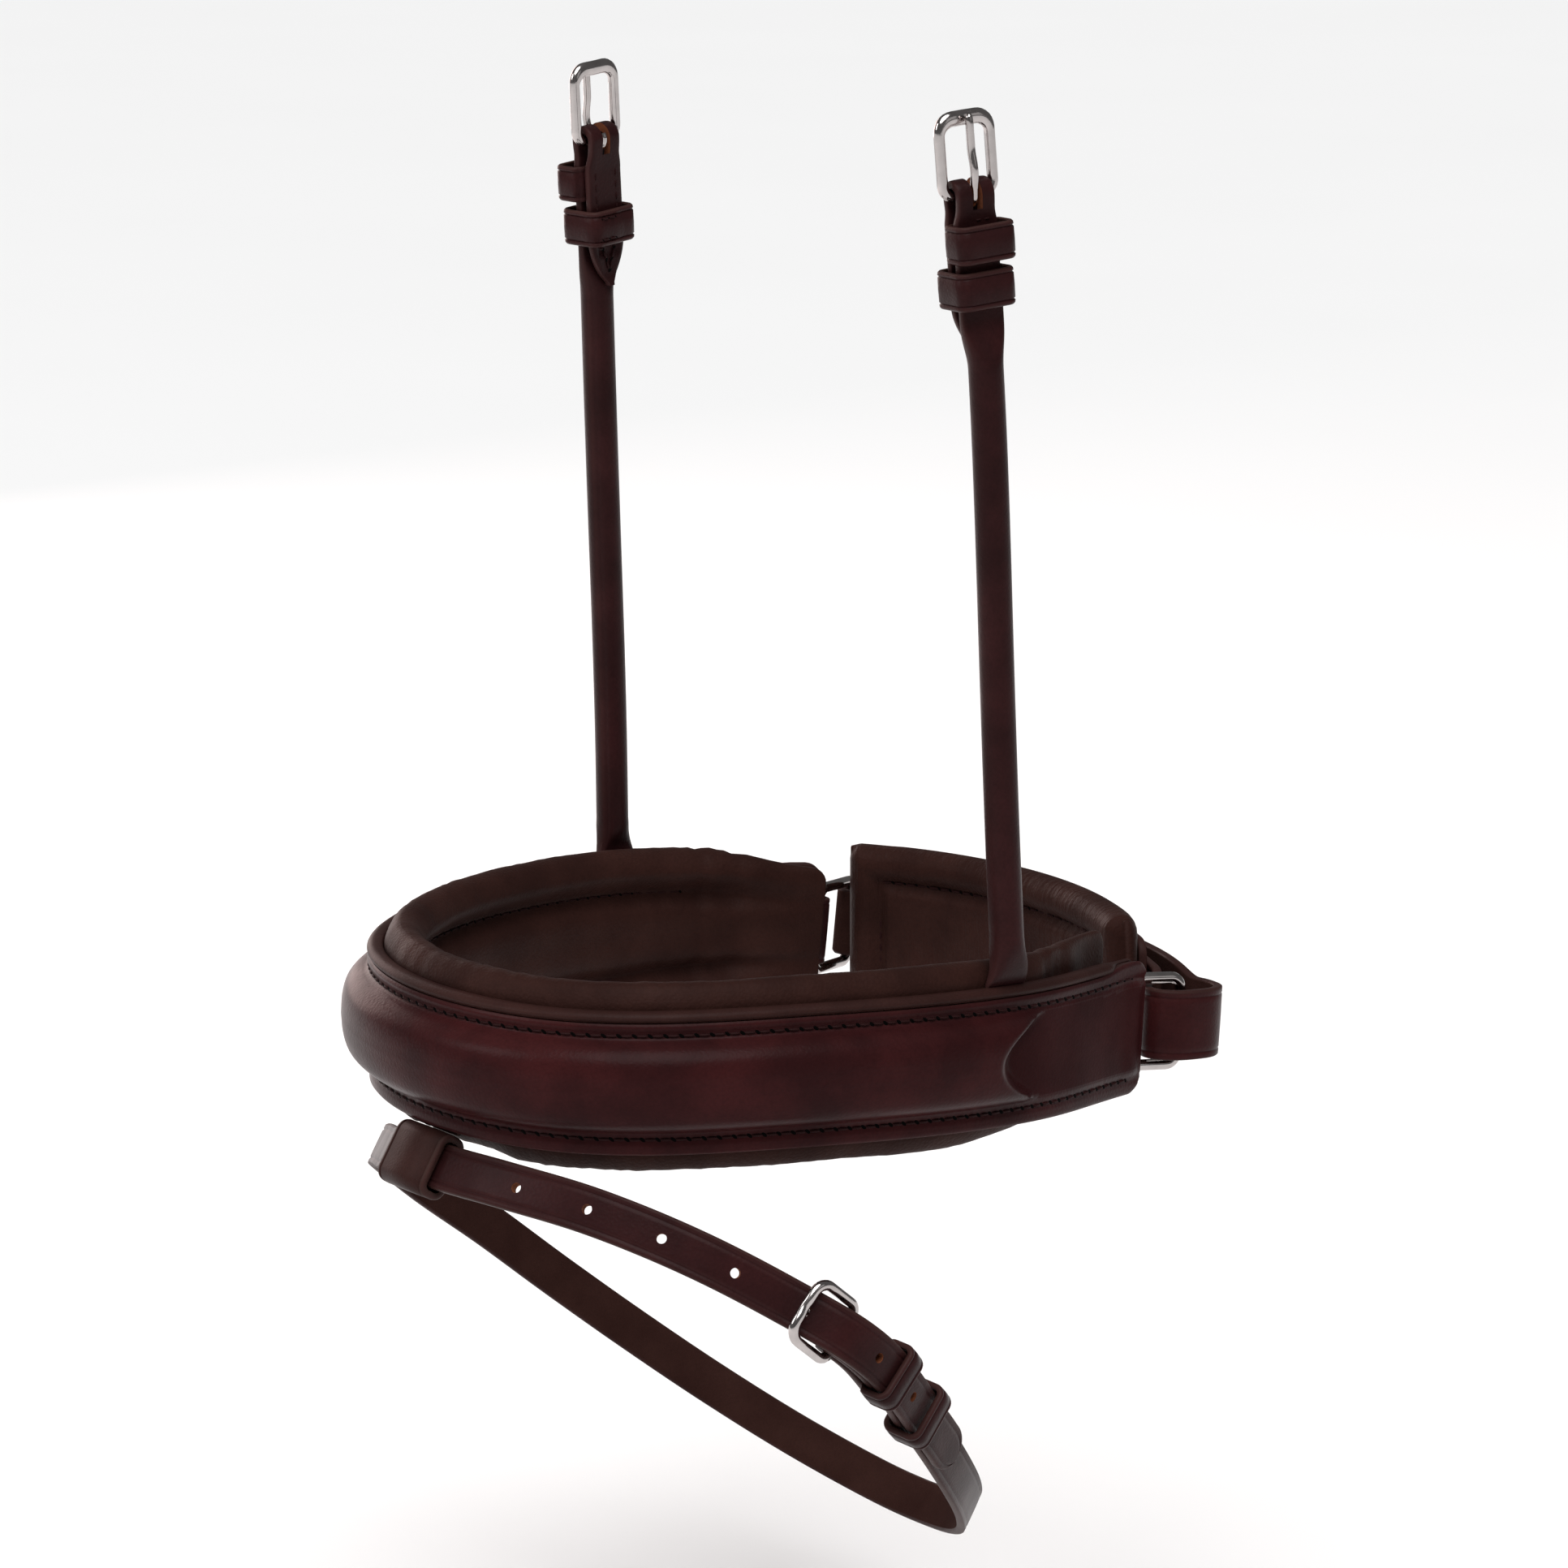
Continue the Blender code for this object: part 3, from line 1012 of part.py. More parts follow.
def build_noseband():
    """Build every piece at its place."""
    for piece in list(bpy.data.objects):
        bpy.data.objects.remove(piece)
    band = band_rail()
    build_band(band)
    build_ring(band, "left")
    link, link_up = build_ring(band, "right")
    build_chin(band, link, link_up)
    build_flash(band)
    for side in SIDES:
        build_hanger(band, side)


build_noseband()
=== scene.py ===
"""Looks of the crank noseband: leather, padding, stitching and polished buckles.

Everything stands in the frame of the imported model: metres, +Z up, the nose
towards -Y, the chin towards +Y, and the horse's left cheek towards +X.
"""
from __future__ import annotations

import logging
import math
from dataclasses import dataclass, field, replace
from enum import Enum
from functools import cache
from typing import Callable, Sequence

import bpy
import numpy as np
from mathutils import Matrix, Vector, noise

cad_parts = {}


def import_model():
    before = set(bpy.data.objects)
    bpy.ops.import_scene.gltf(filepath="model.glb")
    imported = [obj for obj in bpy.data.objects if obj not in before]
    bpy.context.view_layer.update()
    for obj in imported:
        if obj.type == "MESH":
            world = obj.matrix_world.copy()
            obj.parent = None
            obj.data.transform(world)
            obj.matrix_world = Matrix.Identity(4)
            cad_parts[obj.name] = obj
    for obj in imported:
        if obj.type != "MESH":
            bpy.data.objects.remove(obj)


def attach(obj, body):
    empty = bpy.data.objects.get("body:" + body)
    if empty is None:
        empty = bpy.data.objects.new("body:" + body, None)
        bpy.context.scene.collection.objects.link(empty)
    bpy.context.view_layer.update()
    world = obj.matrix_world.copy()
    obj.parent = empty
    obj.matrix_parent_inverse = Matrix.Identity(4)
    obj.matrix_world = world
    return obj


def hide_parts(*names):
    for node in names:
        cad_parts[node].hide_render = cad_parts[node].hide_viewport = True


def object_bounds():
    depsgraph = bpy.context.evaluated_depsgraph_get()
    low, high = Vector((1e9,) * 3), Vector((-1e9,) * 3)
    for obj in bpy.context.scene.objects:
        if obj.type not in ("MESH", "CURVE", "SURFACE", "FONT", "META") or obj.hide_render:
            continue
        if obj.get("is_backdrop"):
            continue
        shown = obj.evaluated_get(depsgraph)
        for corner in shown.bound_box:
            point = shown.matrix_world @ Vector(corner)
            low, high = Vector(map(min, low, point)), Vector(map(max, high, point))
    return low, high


LOG = logging.getLogger("noseband")

Triple = tuple[float, float, float]
Knot = tuple[float, float]
Piece = bpy.types.Object
Socket = bpy.types.NodeSocket

# Clearances between layers, round turning wires, over moving layers and beside a strap.
GAP = 0.0003
RUNNING = 0.0003
SLACK = 0.0006
SIDE_PLAY = 0.0007

# Radius of the square rings' wire, which the tabs and the crank strap turn round.
RING_WIRE = 0.0016

UPWARDS = (0.0, 0.0, 1.0)

# The turn that lays a cutter along a buckle's bar, and the angles of a layer that folds back.
QUARTER_TURN = Matrix.Rotation(math.radians(90), 4, "Y")
HALF_TURN = np.linspace(90, -90, 9)


class Side(Enum):
    """The horse's own left and right."""

    LEFT = 1
    RIGHT = -1

    @property
    def word(self) -> str:
        """The side's name in node and body names."""
        return self.name.lower()


class Strip(Enum):
    """What a strip of a strap's surface shows; its value is its place among the finishes."""

    GRAIN = 0
    EDGE = 1
    FLESH = 2
    SATIN = 3
    DULL = 4


def unit(vector: Sequence[float]) -> np.ndarray:
    """The direction of a vector that isn't zero, at length one."""
    vector = np.asarray(vector, float)
    return vector / np.linalg.norm(vector)


def ease(value: float, low: float, high: float) -> float:
    """A smooth rise of a value from 0 at low and below to 1 at high and above."""
    share = min(1.0, max(0.0, (value - low) / (high - low)))
    return share * share * (3.0 - 2.0 * share)


def between(first: np.ndarray, slope: np.ndarray, second: np.ndarray, next_slope: np.ndarray,
            share: float) -> np.ndarray:
    """The place at a share of a smooth curve between two knots with their slopes."""
    return ((2 * share**3 - 3 * share**2 + 1) * first + (share**3 - 2 * share**2 + share) * slope
            + (3 * share**2 - 2 * share**3) * second + (share**3 - share**2) * next_slope)


def curve_through(knots: Sequence[Sequence[float]], step: float, closed: bool = False) -> np.ndarray:
    """Points about one step apart on a smooth curve.

    Args:
        knots: The places that the curve passes.
        step: How far apart the points are.
        closed: Whether the curve comes back to its first knot.

    Returns:
        One row for each point.
    """
    knots = np.asarray(knots, float)
    count = len(knots)
    if closed:
        knots = np.vstack([knots[-1:], knots, knots[:2]])
    else:
        knots = np.vstack([2 * knots[0] - knots[1], knots, 2 * knots[-1] - knots[-2]])
    chords = np.linalg.norm(np.diff(knots, axis=0), axis=1)
    line = []
    for i in range(1, count + 1 if closed else count):
        before, span, after = chords[i - 1], chords[i], chords[i + 1]
        slope = (knots[i + 1] - knots[i - 1]) / (before + span) * span
        next_slope = (knots[i + 2] - knots[i]) / (span + after) * span
        pieces = max(1, round(span / step))
        line += [between(knots[i], slope, knots[i + 1], next_slope, share)
                 for share in np.arange(pieces) / pieces]
    if not closed:
        line.append(knots[count])
    return np.array(line)


def lengths_along(points: np.ndarray) -> np.ndarray:
    """How far along a line each of its points lies; only the first three columns count."""
    steps = np.linalg.norm(np.diff(points[:, :3], axis=0), axis=1)
    return np.concatenate([[0.0], np.cumsum(steps)])


def resample(line: np.ndarray, places: Sequence[float]) -> np.ndarray:
    """Rows of a line, whose first three columns are places, at distances along it."""
    reach = lengths_along(line)
    return np.column_stack([np.interp(places, reach, column) for column in line.T])


class Rail:
    """A line with an outward and an up direction at every place along it."""

    def __init__(self, points: np.ndarray, up: Sequence[float], centred: bool = False,
                 closed: bool = False) -> None:
        """Measure the line.

        Args:
            points: One row for each point of the line.
            up: The direction that the line's up directions follow.
            centred: Whether distances count from the line's middle.
            closed: Whether the line comes back to its first point.
        """
        self.points = np.asarray(points, float)
        self.up = unit(up)
        self.reach = lengths_along(self.points)
        self.length = self.reach[-1]
        self.closed = closed
        if centred:
            self.reach = self.reach - self.length / 2
        self.headings = np.gradient(self.points, self.reach, axis=0)
        if closed:
            self.headings[0] = self.headings[-1] = self.points[1] - self.points[-2]

    def frame(self, along: float) -> tuple[np.ndarray, np.ndarray, np.ndarray, np.ndarray]:
        """The line's directions at a place.

        Args:
            along: Distance along the line; past an end the line goes straight on.

        Returns:
            The point, and the heading, outward and up directions.
        """
        if self.closed:
            along %= self.length
        inside = min(self.reach[-1], max(self.reach[0], along))
        point = np.array([np.interp(inside, self.reach, c) for c in self.points.T])
        heading = unit([np.interp(inside, self.reach, c) for c in self.headings.T])
        outward = unit(np.cross(heading, self.up))
        up = np.cross(outward, heading)
        return point + heading * (along - inside), heading, outward, up

    def place(self, along: float, out: float, up: float = 0.0) -> np.ndarray:
        """World point at a distance along the line, moved outwards and up."""
        point, _, outward, rise = self.frame(along)
        return point + outward * out + rise * up

    def places(self, spots: Sequence[float], outs: object, ups: object) -> np.ndarray:
        """World points at distances along the line, with one or as many moves outwards and up."""
        return np.array([self.place(*spot) for spot in np.broadcast(spots, outs, ups)])

    def ring(self, along: float, profile: np.ndarray) -> np.ndarray:
        """World points of a profile of (out, up) rows at a distance along the line."""
        point, _, outward, rise = self.frame(along)
        return point + profile[:, :1] * outward + profile[:, 1:2] * rise

    def outs(self, spots: Sequence[float]) -> np.ndarray:
        """The outward directions at distances along the line."""
        return np.array([self.frame(along)[2] for along in spots])

    def line(self, knots: Sequence[Knot], step: float, flip: int = 1) -> np.ndarray:
        """A strap's line through (along, out) knots: place and direction across."""
        return np.array([np.concatenate([self.place(along, out), self.frame(along)[3] * flip])
                         for along, out in curve_through(knots, step)])

    def pose(self, along: float, out: float, way: int = 1, rise: float = 0.0) -> Matrix:
        """A pose beside the line, with Y along it and Z outwards.

        Args:
            along: Distance along the line.
            out: How far outwards from it.
            way: 1 for Y along the heading, -1 against it.
            rise: How much Y turns outwards, as a slope.

        Returns:
            The pose.
        """
        _, heading, outward, _ = self.frame(along)
        ahead = unit(heading * way + outward * rise)
        away = unit(outward - heading * way * rise)
        return pose_of(self.place(along, out), np.cross(ahead, away), ahead, away)


def pose_of(point: np.ndarray, across: np.ndarray, along: np.ndarray, out: np.ndarray) -> Matrix:
    """The matrix that puts local X, Y and Z on three directions at a point."""
    return Matrix([*zip(across, along, out, point), (0.0, 0.0, 0.0, 1.0)])


def posed(points: np.ndarray, pose: Matrix) -> np.ndarray:
    """Points moved by a pose, whatever the shape of their array."""
    turn = np.array(pose)
    return points @ turn[:3, :3].T + turn[:3, 3]


def knots_between(start: Knot, end: Knot, steps: int) -> list[Knot]:
    """Knots in a straight row from one (along, out) place to another."""
    return [tuple(row) for row in np.linspace(start, end, steps)]


def bend(middle: Knot, radius: float, degrees: Sequence[float] = HALF_TURN, way: int = 1) -> list[Knot]:
    """Knots round a middle at angles in degrees, mirrored along the first axis where way is -1."""
    return [(middle[0] + way * radius * math.cos(turn), middle[1] + radius * math.sin(turn))
            for turn in np.radians(degrees)]


def rounded_loop(half_width: float, low: float, high: float, corner: float,
                 steps: int = 9) -> np.ndarray:
    """A rounded rectangle about the Y axis.

    Args:
        half_width: Its reach to each side of the axis.
        low: Where it starts along the axis.
        high: Where it ends.
        corner: Its corners' radius.
        steps: Points in each corner.

    Returns:
        One row for each point.
    """
    side, foot, head = half_width - corner, low + corner, high - corner
    return np.array([knot for x, y, start in ((side, foot, -90), (side, head, 0), (-side, head, 90),
                                              (-side, foot, 180))
                     for knot in bend((x, y), corner, np.linspace(start, start + 90, steps))])


def refined(outline: np.ndarray, step: float) -> np.ndarray:
    """A closed outline with more points on its long sides.

    Args:
        outline: One row for each point.
        step: About how far apart the points may be.

    Returns:
        One row for each point.
    """
    dense = []
    for first, second in zip(outline, np.roll(outline, -1, axis=0)):
        pieces = max(1, round(np.linalg.norm(second - first) / step))
        dense += [first + (second - first) * share for share in np.arange(pieces) / pieces]
    return np.array(dense)


def mesh_of(name: str, points: Sequence, faces: Sequence, *finishes: Finish) -> bpy.types.Mesh:
    """A mesh with its finishes.

    Args:
        name: Its name.
        points: Its points.
        faces: For each face, the numbers of its points.
        finishes: Its finishes in order.

    Returns:
        The mesh.
    """
    mesh = bpy.data.meshes.new(name)
    mesh.from_pydata(points, [], faces)
    for finish in finishes:
        mesh.materials.append(finish.material())
    return mesh


def placed(name: str, data: bpy.types.ID) -> Piece:
    """A new object in the scene.

    Args:
        name: Its name.
        data: The mesh, camera or light that it holds.

    Returns:
        The object.
    """
    thing = bpy.data.objects.new(name, data)
    bpy.context.scene.collection.objects.link(thing)
    return thing


class Graph:
    """A material's nodes, added and joined in short calls."""

    def __init__(self, name: str) -> None:
        """Make the material.

        Args:
            name: The material's name.
        """
        self.material = bpy.data.materials.new(name)
        self.material.use_nodes = True
        self.tree = self.material.node_tree
        self.shader = self.tree.nodes["Principled BSDF"]
        self.coords = self.add("TexCoord").outputs

    def add(self, kind: str, inputs: dict | None = None, **settings: object) -> bpy.types.Node:
        """A new node.

        Args:
            kind: The node's type name without its ShaderNode start.
            inputs: For each input, a socket to join or a value to set.
            settings: Attributes of the node.

        Returns:
            The node.
        """
        node = self.tree.nodes.new("ShaderNode" + kind)
        for name, value in settings.items():
            setattr(node, name, value)
        for name, value in (inputs or {}).items():
            self.put(node.inputs[name], value)
        return node

    def put(self, socket: Socket, value: object) -> None:
        """Join a socket to an output, or set its constant value.

        Args:
            socket: The socket.
            value: An output, or the value to set; a colour may come without its alpha.
        """
        if isinstance(value, Socket):
            self.tree.links.new(value, socket)
        else:
            socket.default_value = (*value, 1.0) if socket.type == "RGBA" else value

    def give(self, **values: object) -> None:
        """Join or set the shader's inputs, named with _ for a blank."""
        for name, value in values.items():
            self.put(self.shader.inputs[name.replace("_", " ")], value)

    def texture(self, kind: str, scale: float, result: str = "Fac", inputs: dict | None = None,
                **settings: object) -> Socket:
        """A texture in the object's own coordinates, with more inputs and settings where given."""
        values = {"Vector": self.coords["Object"], "Scale": scale, **(inputs or {})}
        return self.add(kind, values, **settings).outputs[result]

    def mark(self, name: str) -> Socket:
        """The values of an attribute of the mesh."""
        return self.add("Attribute", attribute_name=name, attribute_type="GEOMETRY").outputs["Fac"]

    def blend(self, share: Socket, first: object, second: object) -> Socket:
        """The colour that has this share of the second and the rest of the first."""
        return self.add("Mix", {0: share, 6: first, 7: second}, data_type="RGBA").outputs[2]

    def spread(self, value: Socket, low: float, high: float, first: float = 0.0,
               second: float = 1.0) -> Socket:
        """A value moved from the range low to high to another range, and kept inside it."""
        return self.add("MapRange", {"Value": value, "From Min": low, "From Max": high,
                                     "To Min": first, "To Max": second}).outputs["Result"]

    def product(self, first: object, second: object) -> Socket:
        """Two values multiplied."""
        return self.add("Math", {0: first, 1: second}, operation="MULTIPLY").outputs[0]

    def bump(self, height: Socket, depth: float, **under: Socket) -> Socket:
        """The normal of bumps of a depth in metres, over the surface or over another Normal."""
        return self.add("Bump", {"Height": height, "Distance": depth, "Strength": 1.0,
                                 **under}).outputs["Normal"]


@dataclass(frozen=True)
class Leather:
    """A leather: its dye, polish, grain and wrinkles. Lengths are metres."""

    name: str
    slot: str
    colour: Triple
    shade: Triple
    worn: Triple
    roughness: float = 0.40
    gloss: float = 0.10
    grain: float = 0.0008
    grain_depth: float = 0.00005
    patch: float = 0.020
    patch_range: tuple[float, float] = (0.30, 0.70)
    pore_share: float = 0.22
    dull_share: float = 0.35
    wrinkle_depth: float = 0.0
    wrinkle_size: tuple[float, float] = (0.0021, 0.013)
    sheen: float = 0.0

    @cache
    def material(self) -> bpy.types.Material:
        """The leather's material, made on its first use.

        Returns:
            A material of procedural nodes.
        """
        graph = Graph(self.name)
        patches = graph.texture("TexNoise", 1.0 / self.patch, inputs={"Detail": 4.0, "Roughness": 0.55})
        cells = graph.texture("TexVoronoi", 1.0 / self.grain, "Distance", feature="SMOOTH_F1")
        fine = graph.texture("TexNoise", 2.2 / self.grain, inputs={"Detail": 3.0})
        low, high = self.patch_range
        dye = graph.blend(graph.spread(patches, 0.36, 0.66), self.shade, self.colour)
        pores = graph.spread(cells, 0.30, 0.75, 0.0, self.pore_share)
        dye = graph.blend(pores, dye, tuple(0.55 * c for c in self.shade))
        # The wear attribute brings rubbed edges and, on the nose leather, a faint painted highlight along the
        # raise's foot; both lighten towards the worn colour.
        wear_and_highlight_share = graph.product(graph.mark("wear"), graph.spread(patches, low, high, 0.55, 1.15))
        dye = graph.blend(wear_and_highlight_share, dye, self.worn)
        dye = graph.blend(graph.product(graph.mark("dull"), self.dull_share), dye, self.shade)
        polish = graph.spread(patches, low, high, self.roughness + 0.05, self.roughness - 0.04)
        normal = graph.bump(cells, self.grain_depth)
        normal = graph.bump(fine, self.grain_depth * 0.6, Normal=normal)
        if self.wrinkle_depth:
            scale = (*(1 / size for size in self.wrinkle_size), 1.0)
            stretched = graph.add("Mapping", {"Vector": graph.coords["UV"], "Scale": scale})
            folds = graph.texture("TexNoise", 1.0, inputs={"Vector": stretched.outputs["Vector"],
                                                           "Detail": 3.0, "Distortion": 0.7})
            normal = graph.bump(graph.spread(folds, low, high), self.wrinkle_depth, Normal=normal)
        graph.give(Base_Color=dye, Roughness=polish, Specular_IOR_Level=self.gloss,
                   Specular_Tint=(0.5, 0.5, 0.5), Sheen_Weight=self.sheen, Normal=normal)
        return graph.material


@dataclass(frozen=True)
class Metal:
    """A polished metal."""

    name: str
    slot: str
    colour: Triple
    roughness: float = 0.12
    smear: float = 260.0

    @cache
    def material(self) -> bpy.types.Material:
        """The metal's material, made on its first use.

        Returns:
            A material of procedural nodes.
        """
        graph = Graph(self.name)
        smears = graph.texture("TexNoise", self.smear, inputs={"Detail": 4.0})
        tone = graph.blend(graph.spread(smears, 0.35, 0.65), tuple(0.86 * c for c in self.colour),
                           self.colour)
        polish = graph.spread(smears, 0.30, 0.70, self.roughness - 0.03, self.roughness + 0.06)
        graph.give(Base_Color=tone, Roughness=polish, Metallic=1.0, Normal=graph.bump(smears, 0.00003))
        return graph.material


@dataclass(frozen=True)
class Thread:
    """A waxed sewing thread, or the painted shade that stands for the dark inside of the pit its awl left."""

    name: str
    slot: str
    colour: Triple
    roughness: float = 0.55
    gloss: float = 0.06
    twist: float = 900.0

    @cache
    def material(self) -> bpy.types.Material:
        """The thread's material, made on its first use.

        Returns:
            A material of procedural nodes.
        """
        graph = Graph(self.name)
        twist = graph.texture("TexWave", self.twist, inputs={"Distortion": 2.0},
                              bands_direction="DIAGONAL")
        tone = graph.blend(twist, tuple(0.6 * c for c in self.colour), self.colour)
        graph.give(Base_Color=tone, Roughness=self.roughness, Specular_IOR_Level=self.gloss,
                   Normal=graph.bump(twist, 0.00005))
        return graph.material


Finish = Leather | Metal | Thread

BRIDLE = Leather("bridle_leather", "outer_leather", (0.0365, 0.0082, 0.0086), (0.0205, 0.0050, 0.0054),
                 (0.065, 0.024, 0.023), roughness=0.33, gloss=0.09)
SATIN = replace(BRIDLE, name="satin_bridle", roughness=0.37, gloss=0.055)
DULL = replace(BRIDLE, name="dull_bridle", roughness=0.42, gloss=0.024)
STRAP = Leather("strap_grain", "strap_leather", (0.0290, 0.0085, 0.0088), (0.0170, 0.0054, 0.0056),
                (0.060, 0.026, 0.024), roughness=0.36, gloss=0.10)
BURNISHED = Leather("burnished_edge", "strap_leather", (0.030, 0.0110, 0.0100), (0.020, 0.0075, 0.0070),
                    (0.065, 0.030, 0.026), roughness=0.48, gloss=0.12, grain=0.0005)
FLESH = Leather("flesh_side", "strap_leather", (0.0340, 0.0140, 0.0115), (0.0245, 0.0098, 0.0082),
                (0.052, 0.029, 0.023), roughness=0.82, gloss=0.02, grain=0.0005, grain_depth=0.00010)
LINING = Leather("lining_nappa", "lining_leather", (0.0310, 0.0118, 0.0092), (0.0205, 0.0076, 0.0060),
                 (0.055, 0.031, 0.027), roughness=0.52, gloss=0.07, grain=0.0008, grain_depth=0.00011,
                 wrinkle_depth=0.00002, sheen=0.01)
CHIN_LINING = replace(LINING, name="chin_nappa", wrinkle_depth=0.00022)
WELT = Leather("welt_leather", "backing_leather", (0.0330, 0.0130, 0.0110), (0.0220, 0.0088, 0.0076),
               (0.058, 0.035, 0.029), roughness=0.46, gloss=0.10, grain=0.0006)
RAW = Leather("raw_edge", "strap_leather", (0.210, 0.070, 0.030), (0.120, 0.036, 0.017),
              (0.300, 0.120, 0.055), roughness=0.85, gloss=0.15, grain=0.0004, grain_depth=0.00008)
NICKEL = Metal("polished_nickel", "stainless", (0.50, 0.46, 0.45))
THREAD = Thread("dark_thread", "outer_leather", (0.0230, 0.0070, 0.0072))
# The awl pit's near-black colour is painted shade, standing for the dark inside of each awl hole.
PIT_SHADE = Thread("painted_awl_pit_shade", "outer_leather", (0.0012, 0.0006, 0.0006), roughness=0.9)

# The finishes of a strap's grain, edge and flesh side, in the order of Strip.
STRAP_SET = (STRAP, BURNISHED, FLESH)
BRIDLE_SET = (BRIDLE, BURNISHED, FLESH)


@dataclass(frozen=True)
class Outline:
    """A strap's cross-section: places round it, how worn they are, and each strip's kind."""

    spots: np.ndarray
    wear: np.ndarray
    strips: np.ndarray


def strap_outline(width: float, thickness: float, crease: float = 0.0019, groove: float = 0.00022,
                  crown: float = 0.0001) -> Outline:
    """The cross-section of a strap with creased margins and round edges.

    Args:
        width: Whole width.
        thickness: Whole thickness.
        crease: Distance of the creases from the edges, or 0 for none.
        groove: Depth of the creases.
        crown: How much the middle of the face stands proud.

    Returns:
        The outline, from the right edge over the outer face.
    """
    half, deep = width / 2, thickness / 2
    edge = min(0.0008, deep * 0.85)
    rows: list[tuple[float, float, float, Strip]] = []

    def corner(way: int, rise: int, turns: Sequence[float], wear: float) -> None:
        """Add the round corner at a side and a face, each 1 or -1, at angles in degrees."""
        middle = (way * (half - edge), rise * (deep - edge))
        rows.extend((x, z, wear, Strip.EDGE) for x, z in bend(middle, edge, turns))

    marks = [(half - edge, 0.0)]
    if crease:
        marks += [(half - crease + shift, sink) for shift, sink in
                  ((0.00045, 0.0), (0.00012, groove), (-0.00012, groove), (-0.00045, 0.0))]
    margin = [(x, sink, 0.0 if sink else 0.14) for x, sink in marks]
    reach = marks[-1][0] * 0.8
    middle = [(x, 0.0, 0.0) for x in np.linspace(reach, -reach, 5)]
    for x, sink, wear in margin + middle + [(-x, sink, wear) for x, sink, wear in reversed(margin)]:
        rows.append((x, deep + crown * (1 - (x / half) ** 2) - crown - sink, wear, Strip.GRAIN))
    corner(-1, 1, (120, 145, 180), 0.30)
    corner(-1, -1, (180, 215, 245), 0.25)
    for x in np.linspace(edge - half, half - edge, 4):
        rows.append((x, -deep, 0.1, Strip.FLESH))
    corner(1, -1, (295, 325, 360), 0.25)
    corner(1, 1, (0, 35, 60), 0.30)
    return Outline(np.array([row[:2] for row in rows]), np.array([row[2] for row in rows]),
                   np.array([row[3].value for row in rows]))


def tube(name: str, rings: Sequence[np.ndarray], finishes: Sequence[Finish],
         strips: np.ndarray | None = None, wear: np.ndarray | None = None, closed: bool = False,
         sharp: float = 48.0) -> Piece:
    """A smooth closed mesh through rings of points.

    Args:
        name: The object's name.
        rings: The rings, each with the same number of points.
        finishes: The finishes that strips may name.
        strips: For each point of a ring, the finish of the strip that starts there.
        wear: For each point of a ring, or for each ring and point, how worn it is; on the nose leather it
            also holds a faint painted highlight.
        closed: Whether the last ring joins the first; else both ends are capped.
        sharp: Edges that bend more than this many degrees stay sharp.

    Returns:
        The new object, in the scene.
    """
    grid = np.asarray(rings, float)
    rows, count = grid.shape[:2]
    spans = rows if closed else rows - 1
    i, k = np.meshgrid(np.arange(spans), np.arange(count), indexing="ij")
    after, beside = (i + 1) % rows, (k + 1) % count
    quads = np.stack([i * count + k, i * count + beside, after * count + beside, after * count + k], -1)
    quads = quads.reshape(-1, 4)
    flat = grid.reshape(-1, 3)
    corners = flat[quads] - flat.mean(0)
    volume = np.einsum("ij,ij->i", corners[:, 0], np.cross(corners[:, 1], corners[:, 2])).sum()
    volume += np.einsum("ij,ij->i", corners[:, 0], np.cross(corners[:, 2], corners[:, 3])).sum()
    faces = [tuple(q) for q in (quads[:, ::-1] if volume < 0 else quads).tolist()]
    if not closed:
        first, last = list(range(count)), list(range((rows - 1) * count, rows * count))
        faces += [tuple(first[::-1]), tuple(last)] if volume >= 0 else [tuple(first), tuple(last[::-1])]
    mesh = mesh_of(name, flat.tolist(), faces, *finishes)
    reach = np.zeros((rows, count))
    reach[1:] = np.cumsum(np.linalg.norm(np.diff(grid, axis=0), axis=2), axis=0)
    reach = np.repeat(reach.mean(1)[:, None], count, axis=1)
    around = np.zeros((rows, count + 1))
    around[:, 1:] = np.cumsum(np.linalg.norm(np.roll(grid, -1, axis=1) - grid, axis=2), axis=1)
    along = np.stack([reach[i, k], reach[i, k], reach[after, k], reach[after, k]], -1)
    over = np.stack([around[i, k], around[i, k + 1], around[after, k + 1], around[after, k]], -1)
    sheet = np.stack([along, over], -1).reshape(-1, 4, 2)
    if volume < 0:
        sheet = sheet[:, ::-1]
    values = np.zeros((len(mesh.loops), 2))
    values[:len(sheet) * 4] = sheet.reshape(-1, 2)
    mesh.uv_layers.new(name="metres").data.foreach_set("uv", values.ravel())
    amounts = np.zeros((rows, count)) if wear is None else np.broadcast_to(wear, (rows, count))
    mesh.attributes.new("wear", "FLOAT", "POINT").data.foreach_set("value", amounts.ravel())
    if strips is not None:
        chosen = np.zeros(len(mesh.polygons), int)
        chosen[:len(quads)] = np.broadcast_to(strips, (spans, count)).ravel()
        chosen[len(quads):] = min(Strip.EDGE.value, len(finishes) - 1)
        mesh.polygons.foreach_set("material_index", chosen)
    mesh.shade_smooth()
    mesh.set_sharp_from_angle(angle=math.radians(sharp))
    return placed(name, mesh)


def frames_of(line: np.ndarray) -> tuple[np.ndarray, np.ndarray, np.ndarray, np.ndarray]:
    """The directions at each place of a strap's line.

    Args:
        line: One row for each place: the place and the direction across.

    Returns:
        The places, the headings, the directions across and the outward normals.
    """
    places = line[:, :3]
    headings = np.gradient(places, lengths_along(line), axis=0)
    headings /= np.linalg.norm(headings, axis=1)[:, None]
    across = line[:, 3:6] - headings * np.einsum("ij,ij->i", line[:, 3:6], headings)[:, None]
    across /= np.linalg.norm(across, axis=1)[:, None]
    return places, headings, across, np.cross(headings, across)


